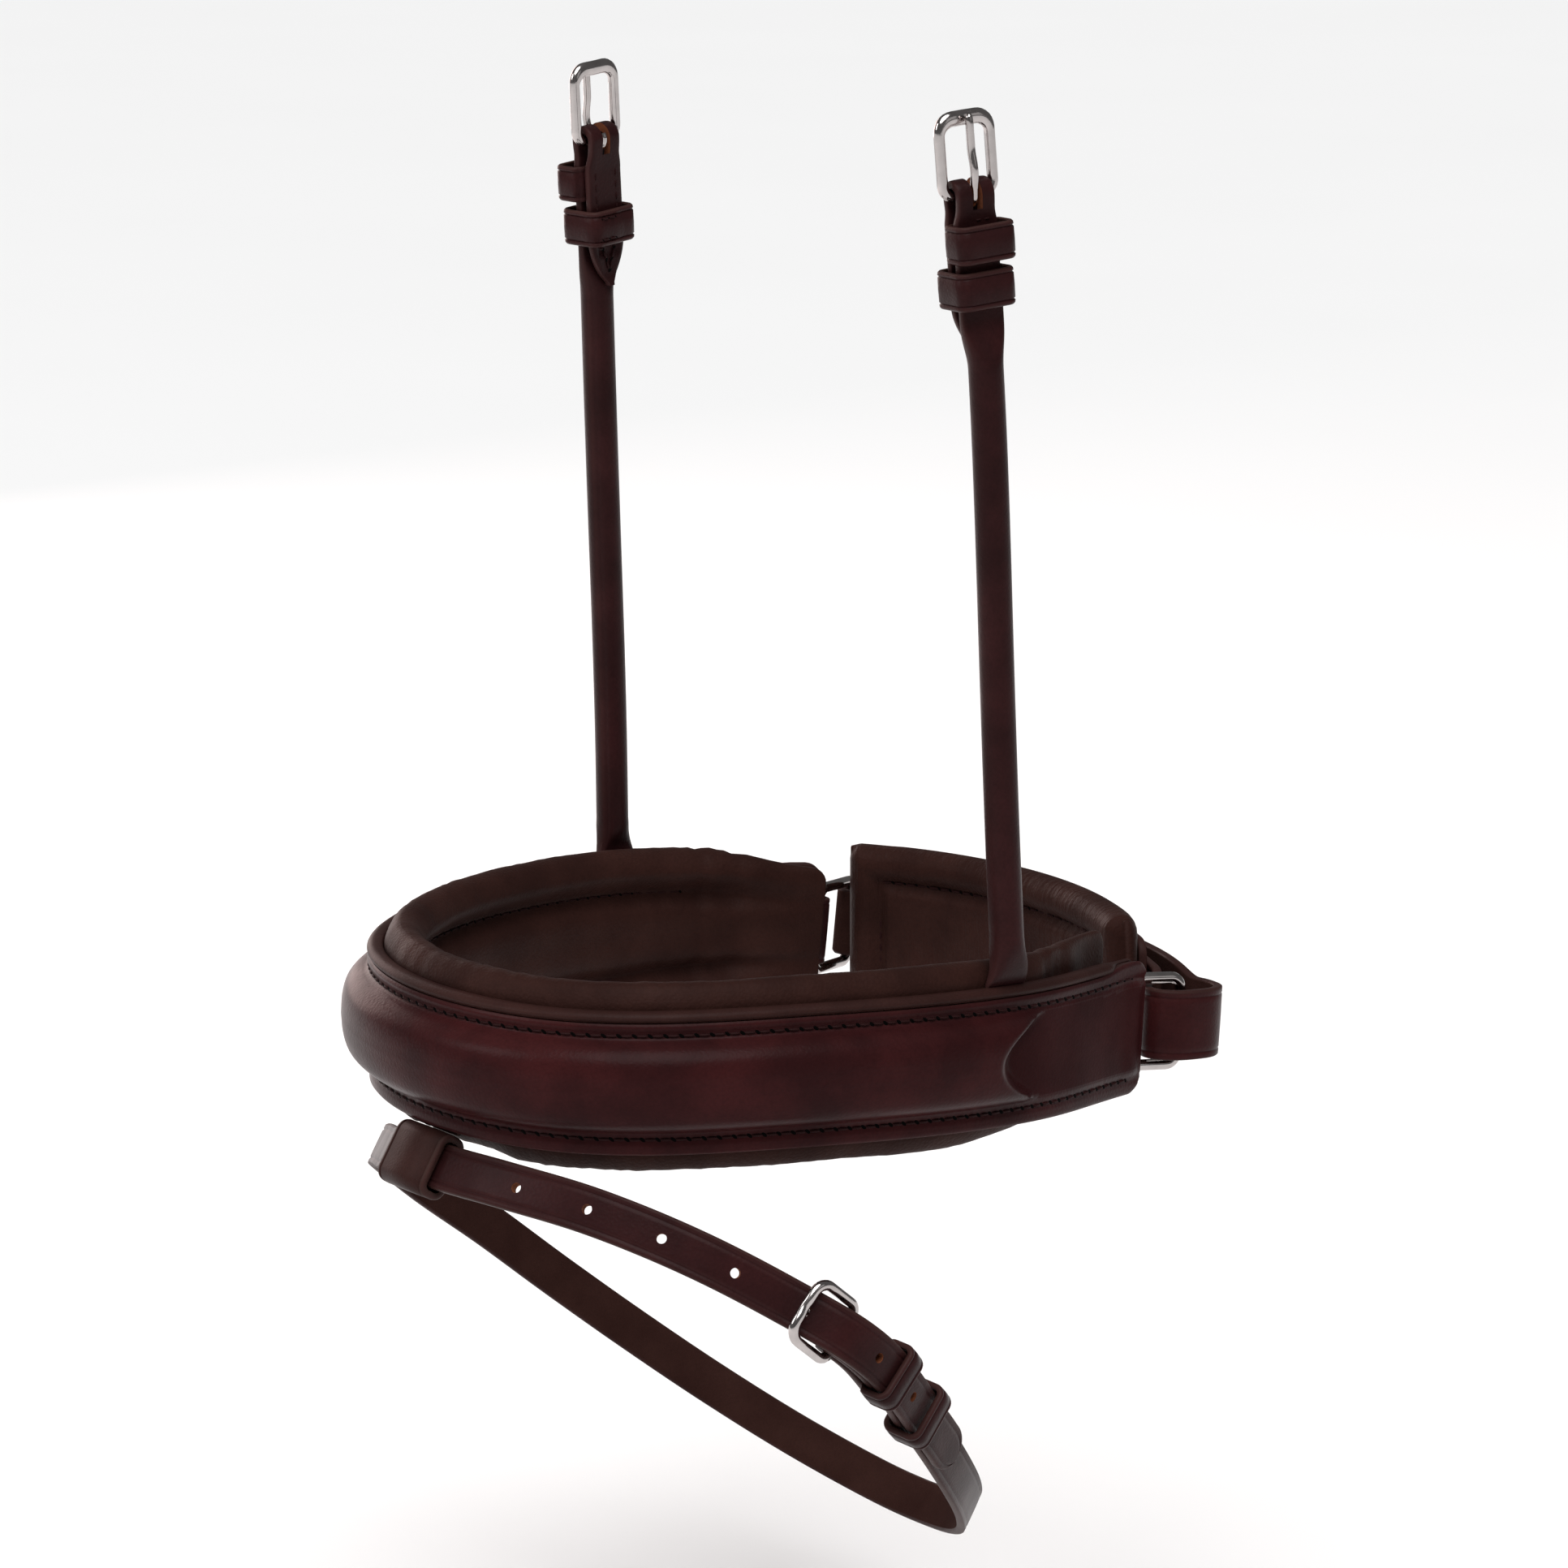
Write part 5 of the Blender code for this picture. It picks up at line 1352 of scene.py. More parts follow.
@dataclass
class Keeper:
    """A leather loop round a strap, with creased margins and a sewn lap."""

    node: str
    body: str
    half_width: float
    low: float
    high: float
    height: float
    thickness: float = 0.0017
    leg: float = 0.0009
    finish: tuple[Finish, Finish, Finish] = STRAP_SET
    crease: float = 0.0014
    lapped: bool = False

    def build(self, pose: Matrix) -> None:
        """Make the loop.

        Args:
            pose: The loop goes round this pose's Y.
        """
        inner = refined(rounded_loop(self.half_width, self.low, self.high, 0.0016, steps=8), 0.0016)
        middle = np.array([0.0, (self.low + self.high) / 2])
        ahead = np.roll(inner, -1, axis=0) - np.roll(inner, 1, axis=0)
        ahead /= np.linalg.norm(ahead, axis=1)[:, None]
        side = np.column_stack([ahead[:, 1], -ahead[:, 0]])
        side *= np.sign(np.einsum("ij,ij->i", side, inner - middle))[:, None]
        shares = self._section()
        rings = []
        for (x, z), away in zip(inner, side):
            wall = self.leg if z < self.low + 0.0007 else self.thickness
            if self.lapped and z < self.low + 0.0007 and x > -self.half_width * 0.15:
                wall += 0.0003
            rings.append([(x + away[0] * depth * wall, along, z + away[1] * depth * wall)
                          for along, depth in shares])
        kinds = np.repeat([kind.value for kind in (Strip.GRAIN, Strip.EDGE, Strip.FLESH, Strip.EDGE)],
                          (9, 3, 3, 2))
        wear = np.array([0.4, 0.2, 0.0, 0.0, 0.0, 0.0, 0.0, 0.2, 0.4, 0.4, 0.3, 0.1, 0.1, 0.1, 0.1, 0.3, 0.4])
        piece = tube("look_" + self.node, posed(np.array(rings), pose), self.finish, kinds, wear, closed=True,
                     sharp=60.0)
        seat(piece, self.body, STRAP.slot, self.node)
        if self.lapped:
            self._lap(pose)

    def _section(self) -> list[Knot]:
        """The section of the strip.

        Returns:
            Places over its width: along it, and share of its thickness.
        """
        half, crease = self.height / 2, self.crease
        return [(half - 0.0004, 0.93), (half - crease + 0.0004, 1.0), (half - crease, 0.76),
                (half - crease - 0.0004, 1.0), (0.0, 1.04), (crease - half + 0.0004, 1.0),
                (crease - half, 0.76), (crease - half - 0.0004, 1.0), (0.0004 - half, 0.93),
                (-half, 0.70), (-half, 0.35), (0.0002 - half, 0.0), (-half * 0.5, 0.0), (half * 0.5, 0.0),
                (half - 0.0002, 0.0), (half, 0.35), (half, 0.70)]

    def _lap(self, pose: Matrix) -> None:
        """Sew two short rows over the lap, on the side next to the horse.

        Args:
            pose: The loop's pose.
        """
        sewing, count = Stitching(pitch=0.0028, thread=0.00030, pit=0.00042), 8
        outs = np.tile((0.0, 0.0, -1.0), (count, 1)) @ np.array(pose)[:3, :3].T
        for name, shift in (("a", -0.0030), ("b", 0.0030)):
            spots = np.column_stack([np.linspace(0.0006, self.half_width - 0.0012, count),
                                     np.full(count, shift), np.full(count, self.low - self.leg - 0.00034)])
            sewing.row(f"look_{self.node}_stitches_{name}", posed(spots, pose), outs, self.body)


@dataclass
class EndRings:
    """The square rings at the band's ends, and the tabs that hold them."""

    band: NoseBand
    wire: float = RING_WIRE
    length: float = 0.0205
    height: float = 0.0250
    corner: float = 0.0034
    inset: float = 0.003
    angles: tuple[float, float] = (32.0, 36.0)
    tab_thickness: float = 0.0015
    tab_width: float = 0.0200

    @property
    def depth(self) -> float:
        """Depth of a ring's inner bar behind the leather's outer face."""
        return self.band.back + self.tab_thickness + RUNNING + self.wire

    def build(self, side: Side) -> tuple[np.ndarray, np.ndarray]:
        """Make one ring and its tab.

        Args:
            side: Which end of the band.

        Returns:
            The place of the outer bar's middle, and the bar's direction.
        """
        way, band, end = side.value, self.band, self.band.half_length
        inner = (end - self.inset, -self.depth)
        radius = self.wire + RUNNING + self.tab_thickness / 2
        lower = -self.depth + self.wire - self.tab_thickness / 2
        second = min(lower, inner[1] + radius - self.tab_thickness - GAP)
        knots = [(end - band.tab_reach, inner[1] + radius), (inner[0] - 0.010, inner[1] + radius)]
        knots += bend(inner, radius)
        knots += [(inner[0] - 0.004, inner[1] - radius + 0.0008), (inner[0] - 0.010, second),
                  (end - band.tab_reach + 0.003, second)]
        knots = [(way * along, out) for along, out in knots]
        line = band.rail.line(knots, 0.0012, flip=way)
        outline = strap_outline(self.tab_width, self.tab_thickness, crease=0.0016, groove=0.00012)
        tab = ribbon("look_ring_tab_" + side.word, line, outline, STRAP_SET)
        seat(tab, "band", STRAP.slot, "ring_tab_" + side.word)
        angle = math.radians(self.angles[0 if way > 0 else 1])
        _, heading, outward, up = band.rail.frame(way * inner[0])
        centre = band.rail.place(way * inner[0], inner[1])
        along = heading * way * math.cos(angle) + outward * math.sin(angle)
        loop = rounded_loop(self.height / 2, 0.0, self.length, self.corner)
        path = np.column_stack([loop, np.zeros(len(loop))])
        pose = pose_of(centre, up, along, np.cross(up, along))
        radii = np.full((len(path), 2), self.wire)
        piece = wire("look_ring_" + side.word, path, (0, 0, 1), radii, True, pose)
        seat(piece, "ring_" + side.word, NICKEL.slot, "ring_" + side.word)
        return centre + along * self.length, up


@dataclass
class ChinPiece:
    """The chin padding, its leather, and the crank strap with its buckle."""

    band: NoseBand
    crest: tuple[float, float] = (-0.005, 0.109)
    radius: float = 0.108
    near_length: float = 0.05843
    far_length: float = 0.06503
    level: float = -0.0118
    height: float = 0.0505
    thickness: float = 0.0105
    border: float = 0.0105
    inside: float = 0.55
    outside: float = 0.45
    lean: float = 0.0030
    channel: float = 0.0032
    seam_half: float = 0.0021
    corner: float = 0.0036
    leather_height: float = 0.034
    leather_thickness: float = 0.0024
    insets: tuple[float, float] = (0.0045, 0.0060)
    width: float = 0.0200
    strap_thickness: float = 0.0028
    turn_back: float = 0.0065
    buckle_at: float = 0.066
    tip: float = 0.008
    chape_reach: float = 0.043
    chape_thickness: float = 0.0016
    layer_gap: float = 0.0018
    keepers_at: tuple[float, float] = (0.0180, 0.0350)
    keeper_height: float = 0.0085
    leg_out: float = 0.0092
    bar_out: float = 0.0150
    buckle_length: float = 0.0240
    buckle_rise: float = 0.0005
    buckle_wire: float = 0.0016
    hole: float = 0.0019
    hole_pitch: float = 0.020
    slot: Knot = (-0.0134, -0.0012)
    loop: tuple[Knot, ...] = (
        (0.0175, -0.0072), (0.0105, -0.0054), (0.0055, -0.0022), (0.0046, 0.0022), (0.0078, 0.0064),
        (0.0135, 0.0092), (0.0195, 0.0106), (0.0248, 0.0090), (0.0284, 0.0040), (0.0312, -0.0030))
    over: tuple[Knot, ...] = (
        (-0.0575, 0.0014), (-0.046, 0.0007), (-0.036, 0.0), (-0.024, -0.0004), (-0.0145, -0.0001),
        (-0.0095, 0.0024), (-0.0045, 0.0052), (0.0, 0.0058), (0.005, 0.0052), (0.012, 0.0036),
        (0.018, 0.0032), (0.035, 0.0032), (0.044, 0.0032), (0.052, 0.0024))
    row_height: float = 0.0128
    border_round: float = 0.0052
    chin: Rail = field(init=False)
    crank: Rail = field(init=False)

    def __post_init__(self) -> None:
        """Lay the lines that the padding and the crank closure follow."""
        self.chin, self.crank = self.arc(), self.arc(self.bar_out)

    def arc(self, out: float = 0.0) -> Rail:
        """An arc beside the crest of the padding.

        Args:
            out: How far outwards from the crest it lies.

        Returns:
            The arc, from the chin piece's left end to its right end.
        """
        radius = self.radius + out
        angles = np.linspace(self.near_length, -self.far_length, 120) / self.radius
        return Rail(np.column_stack([self.crest[0] + radius * np.sin(angles),
                                     self.crest[1] - self.radius + radius * np.cos(angles),
                                     np.full(len(angles), self.level)]), UPWARDS)

    def build(self, link: np.ndarray, link_up: np.ndarray) -> None:
        """Make the chin piece.

        Args:
            link: Middle of the right ring's outer bar.
            link_up: That bar's direction.
        """
        self._padding()
        self._leather()
        self._strap(link, link_up)
        self._chape()

    def _inner(self, from_end: float, up: float) -> float:
        """How far in the padding's face lies: a border roll, a seam, and a soft panel.

        Args:
            from_end: Distance from the chin piece's nearer end.
            up: Height from its middle.

        Returns:
            The distance, as an outward one.
        """
        side = self.height / 2 - abs(up)
        nearest = min(side, from_end)
        if max(side, from_end) < self.corner:
            nearest = max(0.0, self.corner - math.hypot(self.corner - side, self.corner - from_end))
        round_over = math.sqrt(max(0.0, 1.0 - (1.0 - min(1.0, nearest / self.border_round)) ** 2))
        seam = math.exp(-((nearest - self.border) / self.seam_half) ** 2)
        panel = ease(nearest, self.border, self.border + 0.006)
        deep = self.thickness * self.inside
        return -deep * (0.12 + 0.92 * round_over) + self.channel * seam + 0.0007 * panel

    def _lean_out(self, along: float, ups: np.ndarray, start: float) -> np.ndarray:
        """How far the padding leans outwards below its leather, near the ends.

        Args:
            along: Distance along the chin piece.
            ups: Heights from its middle.
            start: How far below the middle the lean starts.

        Returns:
            A distance for each height.
        """
        half, middle = self.height / 2, self.chin.length / 2
        ends = ease(abs(along - middle), self.chin.length / 4, middle)
        return self.lean * ends * np.maximum(0.0, (-ups - start) / (half - start))

    def _section(self, along: float) -> np.ndarray:
        """The padding's section.

        Args:
            along: Distance along the chin piece.

        Returns:
            One (out, up) row for each point, from the outer side over the top.
        """
        half, start = self.height / 2, self.leather_height / 2 + GAP
        from_end = min(along, self.chin.length - along)
        bulk = 0.42 + 0.58 * math.sqrt(max(0.0, 1.0 - (1.0 - min(1.0, from_end / 0.009)) ** 2))
        outer = self.thickness * self.outside * bulk
        if along > self.chin.length / 2:
            outer = min(outer, 0.0012 + 0.0036 * ease(from_end, 0.007, 0.016))
        shade = 1.0 - 0.035 * (1.0 - min(1.0, from_end / 0.003))
        top = [(outer - 0.0045 * (1 - math.cos(turn)) * min(1.0, outer / 0.0045),
                half - 0.0060 + 0.0060 * math.sin(turn)) for turn in np.radians(np.linspace(0, 90, 6))]
        inner = [(self._inner(from_end, up), up) for up in
                 (half - 0.0004, *np.linspace(half - 0.0012, -half + 0.0012, 44), 0.0004 - half)]
        low = [(out, -up) for out, up in reversed(top)]
        ring = np.array([*top, *inner, *low, (outer, -start * 0.5), (outer, start * 0.5)])
        ring[:, 1] *= shade
        ring[:, 0] += self._lean_out(along, ring[:, 1], start)
        return ring

    def _padding(self) -> None:
        """Make the padding: a soft panel inside a rolled border."""
        rail, half, length = self.chin, self.height / 2, self.chin.length
        tips = (0.0, 0.0003, 0.0008, 0.0016, 0.0026, 0.0038)
        spots = np.array(sorted({*np.linspace(0.0, length, 78), *tips, *(length - t for t in tips)}))
        rings = np.array([rail.ring(along, self._section(along)) for along in spots])
        free = range(8, rings.shape[1] - 9)

        def height(point: np.ndarray, i: int, k: int) -> float:
            """How far a fold moves a point out.

            Args:
                point: The point.
                i: Its ring.
                k: Its place in the ring.

            Returns:
                The distance.
            """
            if k not in free:
                return 0.0
            up, along = point[2] - self.level, spots[i]
            from_end = min(along, length - along)
            soft = noise.noise(Vector((along / 0.014, up / 0.016, 8.3))) * 0.00035
            folds = noise.noise(Vector((along / 0.0030, up / 0.020, 2.2))) * 0.00036
            return (soft + folds) * ease(min(from_end, half - abs(up)), 0.001, 0.006)

        piece = tube("look_chin_pad", ruffle(rings, height), (CHIN_LINING,), sharp=80.0)
        seat(piece, "chin", LINING.slot, "chin_pad")
        self._panel_stitches()

    def _panel_stitches(self) -> None:
        """Sew round the panel."""
        sewing, length = Stitching(thread=0.00038, pit=0.0007, pitch=0.0038), self.chin.length
        low, high, tall = self.border, length - self.border, self.height / 2 - self.border
        sides = (("top", (low, tall), (high, tall)), ("low", (low, -tall), (high, -tall)),
                 ("near", (low, tall), (low, -tall)), ("far", (high, tall), (high, -tall)))
        for name, start, end in sides:
            spots = np.linspace(start, end, 60)
            depths = [self._inner(min(along, length - along), up)
                      + self._lean_out(along, up, self.leather_height / 2) - 0.0001 for along, up in spots]
            places = self.chin.places(spots[:, 0], depths, spots[:, 1])
            sewing.row("look_chin_stitches_" + name, places, -self.chin.outs(spots[:, 0]), "chin")

    def _leather(self) -> None:
        """Make the chin piece's leather and its two rows of stitches."""
        out = self.thickness * self.outside + GAP + self.leather_thickness / 2
        knots = knots_between((self.insets[0], out), (self.chin.length - self.insets[1], out), 12)
        line = self.chin.line(knots, 0.002)
        places, shares = tip_places(lengths_along(line)[-1], 0.005, 0.003, 0.005)
        outline = strap_outline(self.leather_height, self.leather_thickness, crease=0.0020)
        shares = 1.0 - (1.0 - shares) * 0.30
        piece = ribbon("look_chin_leather", resample(line, places), outline, BRIDLE_SET, shares)
        seat(piece, "chin", BRIDLE.slot, "chin_leather")
        sewing = Stitching()
        face = out + self.leather_thickness / 2
        spots = np.linspace(self.insets[0] + 0.005, self.chin.length - self.insets[1] - 0.005, 60)
        for name, sign in (("top", 1), ("low", -1)):
            rows = self.chin.places(spots, face - 0.00005, sign * self.row_height)
            sewing.row("look_chin_leather_stitches_" + name, rows, self.chin.outs(spots), "chin")

    def strap_line(self, link: np.ndarray, link_up: np.ndarray) -> np.ndarray:
        """The crank strap's middle line: right ring, chin, left ring, and back over the chin.

        Args:
            link: Middle of the right ring's outer bar.
            link_up: That bar's direction.

        Returns:
            One row for each place: the place and the direction across.
        """
        level = np.array(UPWARDS)
        end, rail, leg = self.band.half_length, self.band.rail, self.leg_out
        ring_up = rail.frame(end)[3]
        point, heading, outward, _ = self.chin.frame(self.chin.length)
        bar = (self.chin.length + np.dot(link - point, heading), np.dot(link - point, outward))
        drop = link[2] - self.level
        radius = RING_WIRE + RUNNING + self.strap_thickness / 2
        knots: list[np.ndarray] = []

        def add(place: np.ndarray, across: np.ndarray) -> None:
            """Add a knot: its place, and a short row for the direction across."""
            knots.append(np.concatenate([place, unit(across) * 0.001]))

        for along, out in knots_between((bar[0] - self.turn_back, bar[1] - radius),
                                        (bar[0] - 0.003, bar[1] - radius), 2):
            add(self.chin.place(along, out, drop), link_up)
        for along, out in bend(bar, radius, -HALF_TURN):
            add(self.chin.place(along, out, drop), link_up)
        add(self.chin.place(bar[0] - 0.004, bar[1] + radius - 0.0001, drop), link_up)
        add(self.chin.place(bar[0] - 0.012, leg + 0.0002, drop * 0.6), level * 0.5 + link_up * 0.5)
        for along in np.linspace(bar[0] - 0.022, 0.007, 8):
            add(self.chin.place(along, leg), level)
        add(self.chin.place(0.0005, leg, -0.0001), level)
        for k, (beyond, out) in enumerate(self.loop):
            share = min(1.0, 0.4 + 0.3 * k, 0.4 + 0.3 * (len(self.loop) - 1 - k))
            add(rail.place(end + beyond, out), ring_up * share + level * (1.0 - share))
        for along, out in self.over:
            add(self.crank.place(self.buckle_at + along, out), level)
        return curve_through(knots, 0.0016)

    def _strap(self, link: np.ndarray, link_up: np.ndarray) -> None:
        """Make the crank strap and punch its slot and holes.

        Args:
            link: Middle of the right ring's outer bar.
            link_up: That bar's direction.
        """
        line = self.strap_line(link, link_up)
        places, shares = tip_places(lengths_along(line)[-1], self.tip, 0.0016)
        outline = strap_outline(self.width, self.strap_thickness, crease=0.0021)
        piece = ribbon("look_crank_strap", resample(line, places), outline, BRIDLE_SET, shares)
        low, high = self.slot
        middle = (low + high) / 2
        hinge = self.buckle_at
        punch(piece, 0.0015, 0.0105, [self.crank.pose(hinge + middle, 0.0032)], (high - low) / 0.0030)
        punch(piece, self.hole, 0.0040, [self.crank.pose(hinge + middle + way * self.hole_pitch, out)
                                         for way, out in ((-1, 0.0), (1, 0.0036))])
        seat(piece, "chin", STRAP.slot, "crank_strap")

    def _chape(self) -> None:
        """Make the folded chape, and on it the buckle, the keeper and the runner."""
        hinge, thick, crank = self.buckle_at, self.chape_thickness, self.crank
        radius = self.buckle_wire + RUNNING + thick / 2
        second = thick + self.layer_gap - radius
        knots = knots_between((hinge + self.chape_reach, -radius), (hinge + 0.006, -radius), 3)
        knots += bend((hinge, 0.0), radius, -HALF_TURN, -1)
        knots += [(hinge + 0.005, radius - 0.0008), (hinge + 0.011, second)]
        knots += knots_between((hinge + 0.018, second), (hinge + self.chape_reach - 0.003, second), 2)
        line = crank.line(knots, 0.0012)
        outline = strap_outline(self.width, thick, crease=0.0018, groove=0.00012)
        chape = ribbon("look_crank_chape", line, outline, STRAP_SET)
        rise = self.buckle_rise / self.buckle_length
        pose = crank.pose(hinge, 0.0, -1, rise)
        punch(chape, radius + thick / 2 + 0.0010, 0.0030, [pose @ QUARTER_TURN])
        seat(chape, "chin", STRAP.slot, "crank_chape")
        Buckle("crank_buckle_frame", "crank_buckle", "crank_tongue",
               self.width + 2 * SIDE_PLAY, self.buckle_length, self.buckle_wire).build(pose, reach=0.0010)
        floor = second - thick / 2 - (self.layer_gap - 0.0009) / 2
        roof = second + thick / 2 + GAP + self.strap_thickness + SLACK
        for node, body, at in (("crank_fixed_keeper", "chin", self.keepers_at[0]),
                               ("crank_runner", "crank_runner", self.keepers_at[1])):
            Keeper(node, body, self.width / 2 + SIDE_PLAY, floor, roof,
                   self.keeper_height).build(crank.pose(hinge + at, 0.0))


@dataclass
class FlashStrap:
    """The flash strap, its sling under the nose, its buckle and its keepers."""

    band: NoseBand
    route: tuple[Triple, ...] = (
        (0.0, -0.1170, -0.0285), (0.0125, -0.1162, -0.0286), (0.0300, -0.1125, -0.0290),
        (0.0562, -0.1010, -0.0328), (0.0784, -0.0842, -0.0424), (0.0942, -0.0638, -0.0569),
        (0.1005, -0.0480, -0.0700), (0.0963, -0.0313, -0.0870), (0.0891, -0.0142, -0.1035),
        (0.0739, 0.0111, -0.1285), (0.0523, 0.0344, -0.1480), (0.0290, 0.0530, -0.1625),
        (0.0030, 0.0650, -0.1710), (-0.0250, 0.0680, -0.1725), (-0.0520, 0.0575, -0.1630),
        (-0.0734, 0.0421, -0.1487), (-0.0886, 0.0233, -0.1314), (-0.0986, 0.0030, -0.1130),
        (-0.1030, -0.0191, -0.0936), (-0.1018, -0.0419, -0.0756), (-0.0938, -0.0630, -0.0588),
        (-0.0784, -0.0745, -0.0516), (-0.0562, -0.0890, -0.0436), (-0.0300, -0.1060, -0.0348),
        (-0.0125, -0.1162, -0.0288))
    lean: float = 33.0
    width: float = 0.0127
    thickness: float = 0.0028
    bar_at: float = 0.1333
    turn_back: float = 0.030
    tip: float = 0.008
    hole: float = 0.0014
    hole_pitch: float = 0.0212
    holes: int = 5
    tail_holes: int = 3
    hole_at: float = 0.0125
    fixed_at: float = 0.0192
    runner_at: float = 0.0440
    keeper_height: float = 0.0078
    layer_gap: float = 0.0020
    slack: float = 0.0012
    loop_width: float = 0.0200
    loop_thickness: float = 0.0020
    tab_thickness: float = 0.0013
    tab_heights: Knot = (-0.0040, -0.0206)
    buckle_length: float = 0.0160
    buckle_wire: float = 0.0014
    buckle_rise: float = 0.0042
    tongue_drop: float = 0.12
    over: tuple[Knot, ...] = (
        (-0.030, 0.0), (-0.022, 0.00035), (-0.016, 0.0012), (-0.011, 0.0028), (-0.006, 0.00455),
        (-0.002, 0.0060), (0.001, 0.0063), (0.005, 0.0061), (0.009, 0.0059), (0.014, 0.0057),
        (0.0192, 0.0056), (0.024, 0.0056), (0.029, 0.0055), (0.034, 0.0050), (0.039, 0.0042),
        (0.044, 0.0037), (0.049, 0.0034), (0.060, 0.0034), (0.0737, 0.0034))
    rail: Rail = field(init=False)

    def __post_init__(self) -> None:
        """Lay the closed line that the strap follows."""
        line = curve_through(self.route, 0.003, closed=True)
        lean = math.radians(self.lean)
        self.rail = Rail(np.vstack([line, line[:1]]), (0, math.sin(lean), math.cos(lean)), closed=True)

    def build(self) -> None:
        """Make the sling, the strap, the buckle and the keepers."""
        self._sling()
        self._strap()
        self._buckle()
        self._keepers()

    @property
    def buckle_pose(self) -> Matrix:
        """The pose of the buckle's frame on its bar."""
        return self.rail.pose(self.bar_at, 0.0, -1, self.buckle_rise / self.buckle_length)

    def _out(self, along: float) -> float:
        """How far out the strap's free end lies at a distance past the buckle's bar."""
        over = np.array(self.over)
        return float(np.interp(along, over[:, 0], over[:, 1]))

    def _sling(self) -> None:
        """Make the tab behind the band's leather, and the loop that the strap passes."""
        band = self.band
        out = -band.thickness - GAP - band.layer / 2
        line = np.array([np.concatenate([band.rail.place(0.0, out, up), (1.0, 0.0, 0.0)])
                         for up in np.linspace(*self.tab_heights, 12)])
        outline = strap_outline(self.loop_width, self.tab_thickness, crease=0.0)
        tab = ribbon("look_flash_tab", line, outline, (WELT, WELT, WELT))
        seat(tab, "band", WELT.slot, "flash_tab")
        Keeper("flash_loop", "flash", self.width / 2 + SIDE_PLAY, -self.thickness / 2 - self.slack,
               self.thickness / 2 + self.slack, self.loop_width, self.loop_thickness, self.loop_thickness,
               (WELT, BURNISHED, WELT)).build(self.rail.pose(0.0, 0.0))

    def strap_line(self) -> np.ndarray:
        """The strap's middle line: turn-back, buckle, round the jaw, and through the buckle.

        Returns:
            One row for each place: the place and the direction across.
        """
        bar, whole, thick = self.bar_at, self.rail.length, self.thickness
        radius = self.buckle_wire + RUNNING + thick / 2
        apart = (thick + self.layer_gap) / 2
        knots = knots_between((bar + self.turn_back, -apart), (bar + 0.009, -apart), 6)
        knots += bend((bar, 0.0), radius, -HALF_TURN, -1)
        knots += knots_between((bar + 0.009, apart), (bar + 0.027, apart), 5)
        knots += [(bar + 0.0315, apart * 0.75), (bar + 0.036, apart * 0.4), (bar + 0.041, apart * 0.1),
                  (bar + 0.047, 0.0)]
        knots += knots_between((bar + 0.060, 0.0), (whole + bar - 0.040, 0.0), 14)
        knots += [(whole + bar + along, out) for along, out in self.over]
        return self.rail.line(knots, 0.0018)

    def _strap(self) -> None:
        """Make the strap, with the slot that its tongue stands in and its holes."""
        line = self.strap_line()
        places, shares = tip_places(lengths_along(line)[-1], self.tip, 0.0018, 0.004)
        outline = strap_outline(self.width, self.thickness, crease=0.0019)
        piece = ribbon("look_flash_strap", resample(line, places), outline, STRAP_SET, shares)
        radius = self.buckle_wire + RUNNING + self.thickness
        punch(piece, radius + 0.00015, 0.0030, [self.buckle_pose @ QUARTER_TURN])
        spots = [-self.hole_at - k * self.hole_pitch for k in range(-self.tail_holes, self.holes)]
        punch(piece, self.hole, self.thickness + GAP,
              [self.rail.pose(self.bar_at + along, self._out(along)) for along in spots])
        seat(piece, "flash", STRAP.slot, "flash_strap")

    def _buckle(self) -> None:
        """Make the buckle, whose tongue lies under the strap's free end."""
        back = self.rail.pose(self.bar_at, 0.0, -1, -self.tongue_drop) @ Matrix.Rotation(math.pi, 4, "Y")
        Buckle("flash_buckle_frame", "flash_buckle", "flash_tongue",
               self.width + 2 * SIDE_PLAY, self.buckle_length, self.buckle_wire,
               flat_top=1.10).build(self.buckle_pose, back, reach=0.0010)

    def _keepers(self) -> None:
        """Make the fixed keeper and the runner."""
        wide, half = self.width / 2 + SIDE_PLAY, self.thickness / 2
        roof = self._out(self.fixed_at) + half
        Keeper("flash_fixed_keeper", "flash", wide, 0.00045, roof + SLACK,
               self.keeper_height).build(self.rail.pose(self.bar_at + self.fixed_at, 0.0))
        roof = self._out(self.runner_at) + half
        Keeper("flash_runner", "flash_runner", wide, -half - self.slack, roof + self.slack,
               self.keeper_height, leg=0.0017).build(self.rail.pose(self.bar_at + self.runner_at, 0.0))


